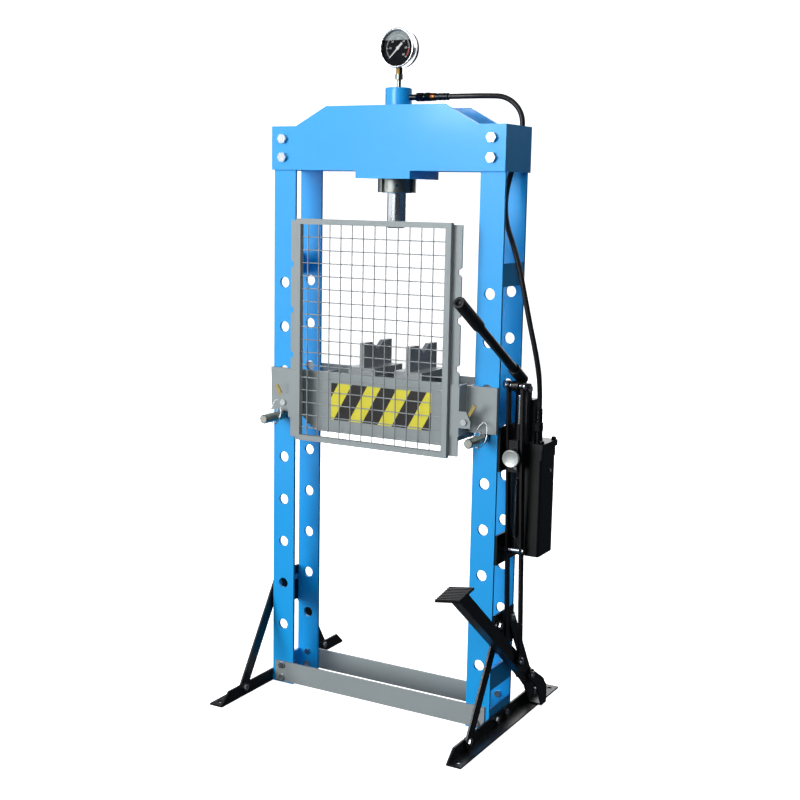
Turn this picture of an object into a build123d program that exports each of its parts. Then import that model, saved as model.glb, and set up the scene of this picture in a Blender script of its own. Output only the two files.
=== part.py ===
# Column press with a hand and foot pump, a guarded bed and a dial gauge.
# Origin on the floor in the middle of the frame, X to the right, Y to the back, Z up, millimetres.
import os
from math import atan2, cos, degrees, hypot, radians, sin, tan

from build123d import *

os.makedirs("parts", exist_ok=True)

# Cuts run past the face they leave by this much
overrun = 2

# Columns: four flat posts drilled on one pitch, with tie plates between them
column_half_span = 353
column_half_depth = 70
post_width = 70
post_thickness = 8
post_in_head = 100
hole_diameter = 30
hole_first_height = 179
hole_pitch = 125
hole_count = 9
tie_thickness = 8
tie_height = 60
base_tie_height = 60
low_tie_bottom = 112
high_tie_drop = 292
brace_plate_thickness = 5
brace_plate_bottom = 216
brace_plate_height = 106

# Head: two shaped plates outside the posts, end plates and the seat of the cylinder
head_plate_thickness = 10
head_bottom = 1490
head_end_height = 118
head_crown_rise = 52
head_shoulder_inset = 76
head_crown_inset = 174
head_end_thickness = 3
head_bolt_inset = 34
seat_half_width = 83
seat_thickness = 21
seat_proud = 2

# Hexagon bolts with their nuts
big_bolt_diameter = 16
big_bolt_flats = 24
big_bolt_head = 10
small_bolt_diameter = 10
small_bolt_flats = 17
small_bolt_head = 6.5
bolt_clearance = 0.4

# Base rails, angle feet and braces
rail_inset = 12
rail_thickness = 5
rail_bottom = 6
rail_height = 60
rail_bolt_inset = 11
foot_thickness = 5
foot_height = 36
foot_reach = 42
foot_half_length = 320
foot_end_slope = 35
foot_bolt_height = 20
foot_bolt_half = 30
floor_hole_diameter = 14
floor_hole_out = 24
floor_hole_inset = 24
brace_width = 36
brace_thickness = 5
brace_foot_half_depth = 208
brace_foot_height = 23.5
brace_top_half_depth = 42
brace_top_height = 290

# Cylinder, ring nut, gland and ram
neck_radius = 40
neck_drop = 58
flange_radius = 54
flange_thickness = 22
barrel_radius = 46
barrel_length = 128
cap_radius = 36
cap_height = 69
bore_radius = 32
bore_in_cap = 6
cap_edge = 2
nut_radius = 52.5
nut_height = 36
nut_clearance = 0.25
nut_slot_count = 4
nut_slot_width = 12
nut_slot_depth = 6
nut_slot_turn = -16
nut_hole_turn = 29
nut_hole_radius = 3.5
gland_height = 20
ram_radius = 26
ram_clearance = 0.05
ram_reach = 94
ram_edge = 3
piston_radius = 31.9
piston_head_room = 10
piston_height = 30

# Dial gauge on its stem
gauge_radius = 50
bezel_radius = 52
bezel_depth = 9
gauge_front = 19
gauge_back = 22
dial_radius = 45.6
dial_recess_radius = 46
dial_recess_depth = 12
dial_thickness = 2
glass_thickness = 2
glass_set_back = 1
glass_clearance = 0.1
pointer_gap = 0.6
pointer_thickness = 1.2
pointer_length = 36
pointer_tail = 18
pointer_half_width = 3.2
pointer_tip_half_width = 0.7
pointer_hub_radius = 4.5
spindle_radius = 1.5
spindle_clearance = 0.06
pointer_rest_angle = 225
stem_seat_gap = 0.2
stem_spigot_radius = 6
stem_spigot_height = 7
stem_flats = 17
stem_height = 17
coupling_radius = 10.5
coupling_height = 14
nipple_radius = 6
nipple_length = 22

# Hose from the cylinder cap to the pump, with a fitting at each end
hose_diameter = 14
hose_arc_share = 0.45
port_drop = 25
port_radius = 8
port_depth = 8
port_clearance = 0.05
fitting_nipple_end = 56
fitting_hex_flats = 22
fitting_hex_end = 98
fitting_collar_radius = 9.5
fitting_collar_end = 108
fitting_sleeve_radius = 9
fitting_end = 150
# Each bend's place from the column's outer face, the middle plane and the bottom of the head
hose_bends = [
    (-153, 0, 194),
    (-103, 14, 195),
    (-48, 35, 194),
    (-6, 43, 150),
    (-12, 45, 82),
    (-21, 36, 35),
    (-33, 22, -20),
    (-33, 3, -78),
    (-19, -14, -134),
    (7, -21, -188),
    (26, -20, -250),
    (41, -14, -322),
    (54, -5, -394),
    (67, 6, -462),
    (75, 17, -526),
    (75, 25, -578),
]

# Pump: tank and lid on the right column, with the pump body in front
tank_width = 90
tank_front = 0
tank_depth = 95
tank_bottom = 482
tank_height = 263
tank_wall = 3
tank_corner = 6
lid_block_height = 27
lid_plate_height = 16
lid_overhang = 4
pump_inset = 29
valve_width = 26
valve_front = -45
valve_drop = 73
pump_base_height = 12
pump_base_back = 34
housing_half_width = 23
housing_front = 27
housing_back = 62
housing_height = 112
barrel_outer_radius = 13
barrel_height = 40
barrel_bore_floor = 4
plunger_depth = -8
plunger_radius = 8
plunger_clearance = 0.05
plunger_floor_gap = 15
plunger_gap = 0.3
ear_thickness = 6
ear_gap = 0.5
ear_half_depth = 16
bracket_front = -66
bracket_back = 70
bracket_thickness = 6
upper_bracket_lap = 30
upper_bracket_height = 118
lower_bracket_drop = 20
lower_bracket_height = 81
knob_rise = 38
knob_radius = 23
knob_thickness = 11
knob_edge = 1.5
knob_stem_radius = 6
knob_stem_length = 7
knob_screw_radius = 5
knob_screw_length = 18
knob_clearance = 0.05
pump_fitting_inset = 69
pump_fitting_depth = 25
pump_fitting_sleeve_height = 36
pump_fitting_hex_height = 24
pump_fitting_elbow_radius = 11
pump_fitting_elbow_height = 30

# Hand lever: rocker on the fulcrum, tube, grip and the axle of the links
fulcrum_depth = 13
fulcrum_rise = 129
fulcrum_radius = 6
pivot_clearance = 0.06
rocker_width = 20
rocker_fulcrum_boss = 15
rocker_axle_boss = 13
axle_arm = 55
axle_rise_angle = 15
axle_radius = 6
axle_head_radius = 9
axle_head_thickness = 4
handle_angle = 30.5
handle_offset = 16
socket_radius = 15.5
socket_start = 24
socket_end = 92
tube_radius = 11.5
tube_wall = 2.5
tube_start = 34
tube_end = 462
grip_radius = 15.5
grip_length = 128
grip_past_tube = 8
grip_hole_radius = 8
grip_edge = 4

# Link bars down to the pedal, with their spreader and the return spring
link_half_gap = 17
link_thickness = 6
link_width = 20
link_end_radius = 11.5
link_slot_clearance = 1.2
spreader_height = 498
spreader_radius = 5
spreader_head_radius = 8
spreader_head_thickness = 5
spring_radius = 7
spring_wire = 1.2
spring_top_hook = 25
spring_bottom_hook = 34
spring_hook_gap = 0.2

# Foot pedal: channel lever on a bracket that stands on the right foot
pedal_depth = 84
pedal_height = 122
pedal_angle = 38
pedal_pin_radius = 6
pedal_link_arm = 107
pedal_half_width = 14
pedal_wall = 4
pedal_half_depth = 18
pedal_tail = 22
pedal_spare = 70
tread_length = 84
tread_overhang = 10.5
tread_half_width = 34
tread_bottom = 464.6
tread_pitch = 9
tread_roll = 8
tread_thickness = 5
tread_rib_count = 9
tread_rib_height = 2
tread_rib_width = 3
cheek_gap = 2.5
cheek_thickness = 5
cheek_front = 160
cheek_back = 194
cheek_crown = 16
cheek_throat_depth = 128
cheek_throat_height = 66
cheek_shoulder_depth = 168
cheek_shoulder_height = 86
cheek_back_height = 50
cheek_base_height = 5
pin_head_radius = 9
pin_head_thickness = 5

# Bed on two pins, with two V-blocks
bed_clearance = 2
bed_plate_thickness = 10
bed_overhang = 1
bed_end_height = 122.4
bed_belly_drop = 45.6
bed_belly_inset = 148
bed_step_inset = 95
bed_spacer_inset = 123
bed_spacer_thickness = 10
bed_spacer_margin = 14
pin_hole_index = 5
pin_radius = 13
pin_front = -172
pin_back = 96
pin_edge = 2.5
rest_gap = 0.3
block_left_offset = -58
block_right_offset = 86
block_base_width = 85
block_base_height = 20
block_web_thickness = 14
block_height = 88
block_half_depth = 76
block_notch_half = 33
block_notch_depth = 24

# Guard: framed mesh on two guide bars that run in sleeves on the bed
guard_inset = 116
guard_drop = 189
guard_height = 610
guard_bar = 15
guard_front = -136
mesh_pitch = 35
mesh_shift_across = 9
mesh_shift_down = 6.7
wire_diameter = 3
wire_gap = 0.05
guide_lap = 12
guide_width = 37
guide_thickness = 5
guide_end_gap = 5
notch_rise = 11
notch_count = 4
notch_depth = 9
notch_half_height = 11
notch_half_floor = 5
sleeve_clearance = 0.5
sleeve_wall = 4
sleeve_lap = 22
sleeve_rise = 5
sleeve_height = 135
latch_ear_reach = 38
latch_ear_drop = 106
latch_ear_height = 44
ear_corner = 13
latch_reach = 20
latch_drop = 90
latch_pin_radius = 4
latch_pin_clearance = 0.06
latch_boss_radius = 10
latch_thickness = 5
latch_tooth_half = 5
latch_tooth_gap = 0.7
latch_window_half = 15
latch_arm_out = 28
latch_arm_rise = 46
latch_arm_half = 4.5
latch_head_radius = 8
latch_head_thickness = 5


def across(y):
    # Upright plane across the press at depth y, facing the front
    return Plane.XZ.offset(-y)


def along(x):
    # Upright plane from front to back at x, facing right
    return Plane.YZ.offset(x)


def level(z):
    return Plane.XY.offset(z)


def hexagon(flats):
    return RegularPolygon(radius=flats / 2, side_count=6, major_radius=False)


def bolts_through(plane, places, sizes, grip, turn):
    # Heads on the plane, shanks through the grip behind it and nuts beyond; turn is 1 or -1
    diameter, flats, head = sizes
    with BuildSketch(plane) as heads:
        with Locations(*places):
            hexagon(flats)
    extrude(heads.sketch, amount=turn * head)
    with BuildSketch(plane) as shanks:
        with Locations(*places):
            Circle(diameter / 2)
    extrude(shanks.sketch, amount=-turn * grip)
    with BuildSketch(plane.offset(-turn * grip)) as nuts:
        with Locations(*places):
            hexagon(flats)
    extrude(nuts.sketch, amount=-turn * head)


big_bolt = (big_bolt_diameter, big_bolt_flats, big_bolt_head)
small_bolt = (small_bolt_diameter, small_bolt_flats, small_bolt_head)
big_bolt_hole = big_bolt_diameter / 2 + bolt_clearance
small_bolt_hole = small_bolt_diameter / 2 + bolt_clearance
sides = (("left", -1), ("right", 1))

# Places that several pieces share
head_shoulder_half = column_half_span - head_shoulder_inset
head_crown_half = column_half_span - head_crown_inset
rail_half_length = column_half_span - rail_inset
floor_hole_half_span = column_half_span + floor_hole_out
floor_hole_half_depth = foot_half_length - floor_hole_inset
tank_left = column_half_span + bracket_thickness
pump_offset = tank_left + pump_inset
pump_fitting_offset = tank_left + pump_fitting_inset
bed_half_length = column_half_span + bed_overhang
bed_belly_half = column_half_span - bed_belly_inset
bed_step_half = column_half_span - bed_step_inset
bed_spacer_offset = column_half_span - bed_spacer_inset
guard_half_width = column_half_span - guard_inset
guide_inner = guard_half_width - guide_lap
guide_outer = guide_inner + guide_width
sleeve_inner = guide_outer - sleeve_lap
ear_outer = guide_outer + latch_ear_reach
latch_offset = guide_outer + latch_reach
post_height = head_bottom + post_in_head
high_tie_bottom = head_bottom - high_tie_drop
head_end_top = head_bottom + head_end_height
head_crown_top = head_end_top + head_crown_rise
head_bolt_low = head_bottom + head_bolt_inset
head_bolt_high = head_end_top - head_bolt_inset
neck_bottom = head_bottom - neck_drop
flange_top = head_bottom + flange_thickness
barrel_top = flange_top + barrel_length
cap_top = barrel_top + cap_height
bore_top = barrel_top + bore_in_cap
port_height = cap_top - port_drop
ram_bottom = neck_bottom - ram_reach
piston_top = bore_top - piston_head_room
piston_bottom = piston_top - piston_height
coupling_top = cap_top + nipple_length + coupling_height
stem_top = coupling_top + stem_height
gauge_height = stem_top + stem_seat_gap + gauge_radius
tank_top = tank_bottom + tank_height
lid_top = tank_top + lid_block_height + lid_plate_height
valve_bottom = lid_top - valve_drop
pump_base_top = lid_top + pump_base_height
knob_height = valve_bottom + knob_rise
fulcrum_height = pump_base_top + fulcrum_rise
plunger_bottom = pump_base_top + plunger_floor_gap
pump_hex_bottom = lid_top + pump_fitting_elbow_height
pump_sleeve_bottom = pump_hex_bottom + pump_fitting_hex_height
pump_fitting_top = pump_sleeve_bottom + pump_fitting_sleeve_height
spring_top = valve_bottom - spring_top_hook
spring_bottom = spreader_height + spring_bottom_hook
hole_heights = [hole_first_height + hole_pitch * i for i in range(hole_count)]
pin_height = hole_heights[pin_hole_index] - hole_diameter / 2 + pin_radius + rest_gap
bed_end_bottom = pin_height + pin_radius + rest_gap
bed_top = bed_end_bottom + bed_end_height
bed_belly = bed_end_bottom - bed_belly_drop
bed_spacer_bottom = bed_belly + bed_spacer_margin
bed_spacer_top = bed_top - bed_spacer_margin
block_top = bed_top + block_height
guard_bottom = bed_top - guard_drop
guard_top = guard_bottom + guard_height
latch_height = bed_top - latch_drop
notch_first_height = latch_height + notch_rise
sleeve_top = bed_top + sleeve_rise
sleeve_bottom = sleeve_top - sleeve_height
ear_bottom = bed_top - latch_ear_drop
ear_top = ear_bottom + latch_ear_height
post_centre = column_half_span - post_width / 2
post_inner_depth = column_half_depth - post_thickness
head_outer_depth = column_half_depth + head_plate_thickness
head_bolt_places = [(s * post_centre, z) for s in (-1, 1) for z in (head_bolt_low, head_bolt_high)]
rail_bolt_heights = (rail_bottom + rail_bolt_inset, rail_bottom + rail_height - rail_bolt_inset)
rail_bolt_places = [(s * post_centre, z) for s in (-1, 1) for z in rail_bolt_heights]

# Posts
for row, y_sign in (("front", -1), ("rear", 1)):
    for hand, x_sign in sides:
        with BuildPart() as post:
            with BuildSketch(across(y_sign * (column_half_depth - post_thickness / 2))):
                with Locations((x_sign * post_centre, post_height / 2)):
                    Rectangle(post_width, post_height)
                with Locations(*[(x_sign * post_centre, z) for z in hole_heights]):
                    Circle(hole_diameter / 2, mode=Mode.SUBTRACT)
                with Locations(*[(x_sign * post_centre, z) for z in (head_bolt_low, head_bolt_high)]):
                    Circle(big_bolt_hole, mode=Mode.SUBTRACT)
                with Locations(*[(x_sign * post_centre, z) for z in rail_bolt_heights]):
                    Circle(small_bolt_hole, mode=Mode.SUBTRACT)
            extrude(amount=post_thickness / 2, both=True)
        post.part.label = f"post_{row}_{hand}"
        export_step(post.part, f"parts/post_{row}_{hand}.step")

# Tie plates between the posts
brace_top_places = [(s * brace_top_half_depth, brace_top_height) for s in (-1, 1)]
foot_bolt_places = [(s * foot_bolt_half, foot_bolt_height) for s in (-1, 1)]
with BuildPart() as tie_plates:
    for x_sign in (-1, 1):
        with BuildSketch(along(x_sign * (column_half_span - tie_thickness / 2))):
            with Locations((0, base_tie_height / 2)):
                Rectangle(2 * post_inner_depth, base_tie_height)
            with Locations((0, high_tie_bottom + tie_height / 2)):
                Rectangle(2 * post_inner_depth, tie_height)
            with Locations(*foot_bolt_places):
                Circle(small_bolt_hole, mode=Mode.SUBTRACT)
        extrude(amount=tie_thickness / 2, both=True)
    with BuildSketch(along(column_half_span - tie_thickness / 2)):
        with Locations((0, low_tie_bottom + tie_height / 2)):
            Rectangle(2 * post_inner_depth, tie_height)
    extrude(amount=tie_thickness / 2, both=True)
tie_plates.part.label = "tie_plates"
export_step(tie_plates.part, "parts/tie_plates.step")

# Head plates with the raised crown
for row, y_sign in (("front", -1), ("rear", 1)):
    with BuildPart() as head_plate:
        with BuildSketch(across(y_sign * (column_half_depth + head_plate_thickness / 2))):
            with BuildLine():
                Polyline(
                    (-column_half_span, head_bottom),
                    (-column_half_span, head_end_top),
                    (-head_shoulder_half, head_end_top),
                    (-head_crown_half, head_crown_top),
                    (head_crown_half, head_crown_top),
                    (head_shoulder_half, head_end_top),
                    (column_half_span, head_end_top),
                    (column_half_span, head_bottom),
                    close=True,
                )
            make_face()
            with Locations(*head_bolt_places):
                Circle(big_bolt_hole, mode=Mode.SUBTRACT)
        extrude(amount=head_plate_thickness / 2, both=True)
    head_plate.part.label = f"head_plate_{row}"
    export_step(head_plate.part, f"parts/head_plate_{row}.step")

with BuildPart() as head_end_plates:
    for x_sign in (-1, 1):
        with BuildSketch(along(x_sign * (column_half_span + head_end_thickness / 2))):
            with Locations((0, (head_bottom + head_end_top) / 2)):
                Rectangle(2 * head_outer_depth, head_end_top - head_bottom)
        extrude(amount=head_end_thickness / 2, both=True)
head_end_plates.part.label = "head_end_plates"
export_step(head_end_plates.part, "parts/head_end_plates.step")

with BuildPart() as seat_plate:
    with BuildSketch(level(head_bottom - seat_thickness)):
        Rectangle(2 * seat_half_width, 2 * (head_outer_depth + seat_proud))
        Circle(neck_radius + nut_clearance, mode=Mode.SUBTRACT)
    extrude(amount=seat_thickness)
seat_plate.part.label = "seat_plate"
export_step(seat_plate.part, "parts/seat_plate.step")

head_grip = head_plate_thickness + post_thickness
with BuildPart() as head_bolts:
    bolts_through(across(-head_outer_depth), head_bolt_places, big_bolt, head_grip, 1)
    bolts_through(across(head_outer_depth), head_bolt_places, big_bolt, head_grip, -1)
head_bolts.part.label = "head_bolts"
export_step(head_bolts.part, "parts/head_bolts.step")

# Base rails across the front and the back
for row, y_sign in (("front", -1), ("rear", 1)):
    with BuildPart() as rail:
        with BuildSketch(across(y_sign * (column_half_depth + rail_thickness / 2))):
            with Locations((0, rail_bottom + rail_height / 2)):
                Rectangle(2 * rail_half_length, rail_height)
            with Locations(*rail_bolt_places):
                Circle(small_bolt_hole, mode=Mode.SUBTRACT)
        extrude(amount=rail_thickness / 2, both=True)
    rail.part.label = f"base_rail_{row}"
    export_step(rail.part, f"parts/base_rail_{row}.step")

# Angle feet with sloping ends
brace_foot_places = [(s * brace_foot_half_depth, brace_foot_height) for s in (-1, 1)]
for hand, x_sign in sides:
    with BuildPart() as foot:
        with BuildSketch(along(x_sign * (column_half_span + foot_thickness / 2))):
            with BuildLine():
                Polyline(
                    (-foot_half_length, 0),
                    (foot_half_length, 0),
                    (foot_half_length, foot_thickness),
                    (foot_half_length - foot_end_slope, foot_height),
                    (foot_end_slope - foot_half_length, foot_height),
                    (-foot_half_length, foot_thickness),
                    close=True,
                )
            make_face()
            with Locations(*(brace_foot_places + foot_bolt_places)):
                Circle(small_bolt_hole, mode=Mode.SUBTRACT)
        extrude(amount=foot_thickness / 2, both=True)
        with BuildSketch(level(0)):
            with Locations((x_sign * (column_half_span + foot_reach / 2), 0)):
                Rectangle(foot_reach, 2 * foot_half_length)
            with Locations(*[(x_sign * floor_hole_half_span, s * floor_hole_half_depth) for s in (-1, 1)]):
                Circle(floor_hole_diameter / 2, mode=Mode.SUBTRACT)
        extrude(amount=foot_thickness)
    foot.part.label = f"foot_{hand}"
    export_step(foot.part, f"parts/foot_{hand}.step")

# Braces from the feet up to plates on the columns
brace_length = hypot(brace_foot_half_depth - brace_top_half_depth, brace_top_height - brace_foot_height)
brace_lean = degrees(
    atan2(brace_top_height - brace_foot_height, brace_foot_half_depth - brace_top_half_depth)
)
brace_x = column_half_span + brace_plate_thickness + brace_thickness / 2
brace_middle_depth = (brace_foot_half_depth + brace_top_half_depth) / 2
brace_middle_height = (brace_foot_height + brace_top_height) / 2
with BuildPart() as braces:
    for x_sign in (-1, 1):
        with BuildSketch(along(x_sign * brace_x)):
            with Locations(Location((-brace_middle_depth, brace_middle_height), brace_lean)):
                SlotCenterToCenter(brace_length, brace_width)
            with Locations(Location((brace_middle_depth, brace_middle_height), -brace_lean)):
                SlotCenterToCenter(brace_length, brace_width)
            with Locations(*(brace_foot_places + brace_top_places)):
                Circle(small_bolt_hole, mode=Mode.SUBTRACT)
        extrude(amount=brace_thickness / 2, both=True)
        with BuildSketch(along(x_sign * (column_half_span + brace_plate_thickness / 2))):
            with Locations((0, brace_plate_bottom + brace_plate_height / 2)):
                Rectangle(2 * post_inner_depth, brace_plate_height)
            with Locations(*brace_top_places):
                Circle(small_bolt_hole, mode=Mode.SUBTRACT)
        extrude(amount=brace_plate_thickness / 2, both=True)
braces.part.label = "braces"
export_step(braces.part, "parts/braces.step")

# Bolts of the rails, feet and braces
rail_grip = rail_thickness + post_thickness
brace_grip = brace_thickness + brace_plate_thickness
foot_grip = foot_thickness + tie_thickness
brace_face = column_half_span + brace_grip
foot_face = column_half_span + foot_thickness
with BuildPart() as frame_bolts:
    bolts_through(across(-column_half_depth - rail_thickness), rail_bolt_places, small_bolt, rail_grip, 1)
    bolts_through(across(column_half_depth + rail_thickness), rail_bolt_places, small_bolt, rail_grip, -1)
    for x_sign in (-1, 1):
        brace_places = brace_foot_places + brace_top_places
        bolts_through(along(x_sign * brace_face), brace_places, small_bolt, brace_grip, x_sign)
        bolts_through(along(x_sign * foot_face), foot_bolt_places, small_bolt, foot_grip, x_sign)
frame_bolts.part.label = "frame_bolts"
export_step(frame_bolts.part, "parts/frame_bolts.step")

# Cylinder: neck through the seat, flange on it, barrel inside the head and the cap above
with BuildPart() as cylinder:
    with BuildSketch(Plane.XZ):
        with BuildLine():
            Polyline(
                (bore_radius, neck_bottom),
                (neck_radius, neck_bottom),
                (neck_radius, head_bottom),
                (flange_radius, head_bottom),
                (flange_radius, flange_top),
                (barrel_radius, flange_top),
                (barrel_radius, barrel_top),
                (cap_radius, barrel_top),
                (cap_radius, cap_top - cap_edge),
                (cap_radius - cap_edge, cap_top),
                (0, cap_top),
                (0, bore_top),
                (bore_radius, bore_top),
                close=True,
            )
        make_face()
    revolve(axis=Axis.Z)
    with BuildSketch(along(cap_radius - port_depth)):
        with Locations((0, port_height)):
            Circle(port_radius + port_clearance)
    extrude(amount=port_depth + overrun, mode=Mode.SUBTRACT)
cylinder.part.label = "cylinder"
export_step(cylinder.part, "parts/cylinder.step")

# Ring nut with spanner slots and a tommy hole
nut_top = head_bottom - seat_thickness
nut_slot_reach = nut_slot_depth + overrun
nut_hole_dir = (sin(radians(nut_hole_turn)), -cos(radians(nut_hole_turn)), 0)
nut_hole_plane = Plane(origin=(0, 0, nut_top - nut_height / 2), z_dir=nut_hole_dir)
with BuildPart() as ring_nut:
    with BuildSketch(level(nut_top - nut_height)):
        Circle(nut_radius)
        Circle(neck_radius + nut_clearance, mode=Mode.SUBTRACT)
        with PolarLocations(nut_radius - nut_slot_depth + nut_slot_reach / 2, nut_slot_count, nut_slot_turn):
            Rectangle(nut_slot_reach, nut_slot_width, mode=Mode.SUBTRACT)
    extrude(amount=nut_height)
    with BuildSketch(nut_hole_plane.offset(neck_radius)):
        Circle(nut_hole_radius)
    extrude(amount=nut_radius + overrun - neck_radius, mode=Mode.SUBTRACT)
ring_nut.part.label = "ring_nut"
export_step(ring_nut.part, "parts/ring_nut.step")

with BuildPart() as gland:
    with BuildSketch(level(neck_bottom)):
        Circle(bore_radius)
        Circle(ram_radius + ram_clearance, mode=Mode.SUBTRACT)
    extrude(amount=gland_height)
gland.part.label = "gland"
export_step(gland.part, "parts/gland.step")

# Ram turned in one piece with its piston
with BuildPart() as ram:
    with BuildSketch(Plane.XZ):
        with BuildLine():
            Polyline(
                (0, ram_bottom),
                (ram_radius - ram_edge, ram_bottom),
                (ram_radius, ram_bottom + ram_edge),
                (ram_radius, piston_bottom),
                (piston_radius, piston_bottom),
                (piston_radius, piston_top),
                (0, piston_top),
                close=True,
            )
        make_face()
    revolve(axis=Axis.Z)
ram.part.label = "ram"
export_step(ram.part, "parts/ram.step")

# Dial gauge: case with its bezel, dial, pointer and glass
gauge_axis = Axis((0, 0, gauge_height), (0, 1, 0))
recess_floor = dial_recess_depth - gauge_front
with BuildPart() as gauge_case:
    with BuildSketch(Plane.YZ):
        with BuildLine():
            Polyline(
                (recess_floor, gauge_height),
                (recess_floor, gauge_height + dial_recess_radius),
                (-gauge_front, gauge_height + dial_recess_radius),
                (-gauge_front, gauge_height + gauge_radius),
                (glass_thickness - gauge_front, gauge_height + bezel_radius),
                (bezel_depth - gauge_front, gauge_height + bezel_radius),
                (bezel_depth - gauge_front, gauge_height + gauge_radius),
                (gauge_back - bezel_depth, gauge_height + gauge_radius),
                (gauge_back, gauge_height + gauge_radius - bezel_depth),
                (gauge_back, gauge_height),
                close=True,
            )
        make_face()
    revolve(axis=gauge_axis)
    with BuildSketch(level(gauge_height - gauge_radius - overrun)):
        Circle(stem_spigot_radius + port_clearance)
    extrude(amount=stem_spigot_height + overrun, mode=Mode.SUBTRACT)
gauge_case.part.label = "gauge_case"
export_step(gauge_case.part, "parts/gauge_case.step")

dial_face = recess_floor - dial_thickness
with BuildPart() as gauge_dial:
    with BuildSketch(across(recess_floor)):
        with Locations((0, gauge_height)):
            Circle(dial_radius)
            Circle(spindle_radius + spindle_clearance, mode=Mode.SUBTRACT)
    extrude(amount=dial_thickness)
gauge_dial.part.label = "gauge_dial"
export_step(gauge_dial.part, "parts/gauge_dial.step")

with BuildPart() as gauge_pointer:
    with BuildSketch(across(dial_face - pointer_gap)):
        with Locations(Location((0, gauge_height), pointer_rest_angle)):
            Polygon(
                (-pointer_tail, -pointer_half_width),
                (pointer_length, -pointer_tip_half_width),
                (pointer_length, pointer_tip_half_width),
                (-pointer_tail, pointer_half_width),
                align=None,
            )
            Circle(pointer_hub_radius)
    extrude(amount=pointer_thickness)
    with BuildSketch(across(dial_face - pointer_gap)):
        with Locations((0, gauge_height)):
            Circle(spindle_radius)
    extrude(amount=-(pointer_gap + dial_thickness))
gauge_pointer.part.label = "gauge_pointer"
export_step(gauge_pointer.part, "parts/gauge_pointer.step")

with BuildPart() as gauge_glass:
    with BuildSketch(across(glass_set_back + glass_thickness - gauge_front)):
        with Locations((0, gauge_height)):
            Circle(dial_recess_radius - glass_clearance)
    extrude(amount=glass_thickness)
gauge_glass.part.label = "gauge_glass"
export_step(gauge_glass.part, "parts/gauge_glass.step")

with BuildPart() as gauge_stem:
    with BuildSketch(level(stem_top)):
        hexagon(stem_flats)
    extrude(amount=-stem_height)
    with BuildSketch(level(stem_top)):
        Circle(stem_spigot_radius)
    extrude(amount=stem_spigot_height)
gauge_stem.part.label = "gauge_stem"
export_step(gauge_stem.part, "parts/gauge_stem.step")

with BuildPart() as gauge_coupling:
    with BuildSketch(level(coupling_top)):
        Circle(coupling_radius)
    extrude(amount=-coupling_height)
    with BuildSketch(level(cap_top)):
        Circle(nipple_radius)
    extrude(amount=nipple_length)
gauge_coupling.part.label = "gauge_coupling"
export_step(gauge_coupling.part, "parts/gauge_coupling.step")

# Hose fittings
with BuildPart() as hose_fitting_cap:
    with BuildSketch(along(cap_radius - port_depth)):
        with Locations((0, port_height)):
            Circle(port_radius)
    extrude(amount=fitting_nipple_end - cap_radius + port_depth)
    with BuildSketch(along(fitting_nipple_end)):
        with Locations((0, port_height)):
            hexagon(fitting_hex_flats)
    extrude(amount=fitting_hex_end - fitting_nipple_end)
    with BuildSketch(along(fitting_hex_end)):
        with Locations((0, port_height)):
            Circle(fitting_collar_radius)
    extrude(amount=fitting_collar_end - fitting_hex_end)
    with BuildSketch(along(fitting_collar_end)):
        with Locations((0, port_height)):
            Circle(fitting_sleeve_radius)
    extrude(amount=fitting_end - fitting_collar_end)
hose_fitting_cap.part.label = "hose_fitting_cap"
export_step(hose_fitting_cap.part, "parts/hose_fitting_cap.step")

with BuildPart() as hose_fitting_pump:
    with BuildSketch(level(lid_top)):
        with Locations((pump_fitting_offset, pump_fitting_depth)):
            Circle(pump_fitting_elbow_radius)
    extrude(amount=pump_fitting_elbow_height)
    with BuildSketch(level(pump_hex_bottom)):
        with Locations((pump_fitting_offset, pump_fitting_depth)):
            hexagon(fitting_hex_flats)
    extrude(amount=pump_fitting_hex_height)
    with BuildSketch(level(pump_sleeve_bottom)):
        with Locations((pump_fitting_offset, pump_fitting_depth)):
            Circle(fitting_sleeve_radius)
    extrude(amount=pump_fitting_sleeve_height)
hose_fitting_pump.part.label = "hose_fitting_pump"
export_step(hose_fitting_pump.part, "parts/hose_fitting_pump.step")

# Hose: straight runs joined by arcs as large as the runs allow
hose_route = [(fitting_end, 0, port_height)]
hose_route += [(column_half_span + out, depth, head_bottom + rise) for out, depth, rise in hose_bends]
hose_route += [(pump_fitting_offset, pump_fitting_depth, pump_fitting_top)]
hose_points = [Vector(*point) for point in hose_route]
hose_radii = []
for before, corner, after in zip(hose_points, hose_points[1:], hose_points[2:]):
    hose_turn = radians((corner - before).get_angle(after - corner))
    shorter_run = min((corner - before).length, (after - corner).length)
    hose_radii.append(hose_arc_share * shorter_run / tan(hose_turn / 2))
hose_start = Plane(origin=hose_points[0], z_dir=hose_points[1] - hose_points[0])
with BuildPart() as hose:
    with BuildLine() as hose_path:
        FilletPolyline(*hose_points, radius=hose_radii)
    with BuildSketch(hose_start):
        Circle(hose_diameter / 2)
    sweep(path=hose_path.wires()[0])
print("hose radii", [round(radius) for radius in hose_radii])
print("hose length", hose_path.wires()[0].length, "volume", hose.part.volume)
hose.part.label = "hose"
export_step(hose.part, "parts/hose.step")

# Tank, open at the top under its lid
tank_x = tank_left + tank_width / 2
tank_y = tank_front + tank_depth / 2
with BuildPart() as tank:
    with BuildSketch(level(tank_bottom)):
        with Locations((tank_x, tank_y)):
            RectangleRounded(tank_width, tank_depth, tank_corner)
    extrude(amount=tank_height)
    with BuildSketch(level(tank_bottom + tank_wall)):
        with Locations((tank_x, tank_y)):
            RectangleRounded(tank_width - 2 * tank_wall, tank_depth - 2 * tank_wall, tank_corner - tank_wall)
    extrude(amount=tank_height, mode=Mode.SUBTRACT)
tank.part.label = "tank"
export_step(tank.part, "parts/tank.step")

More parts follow.
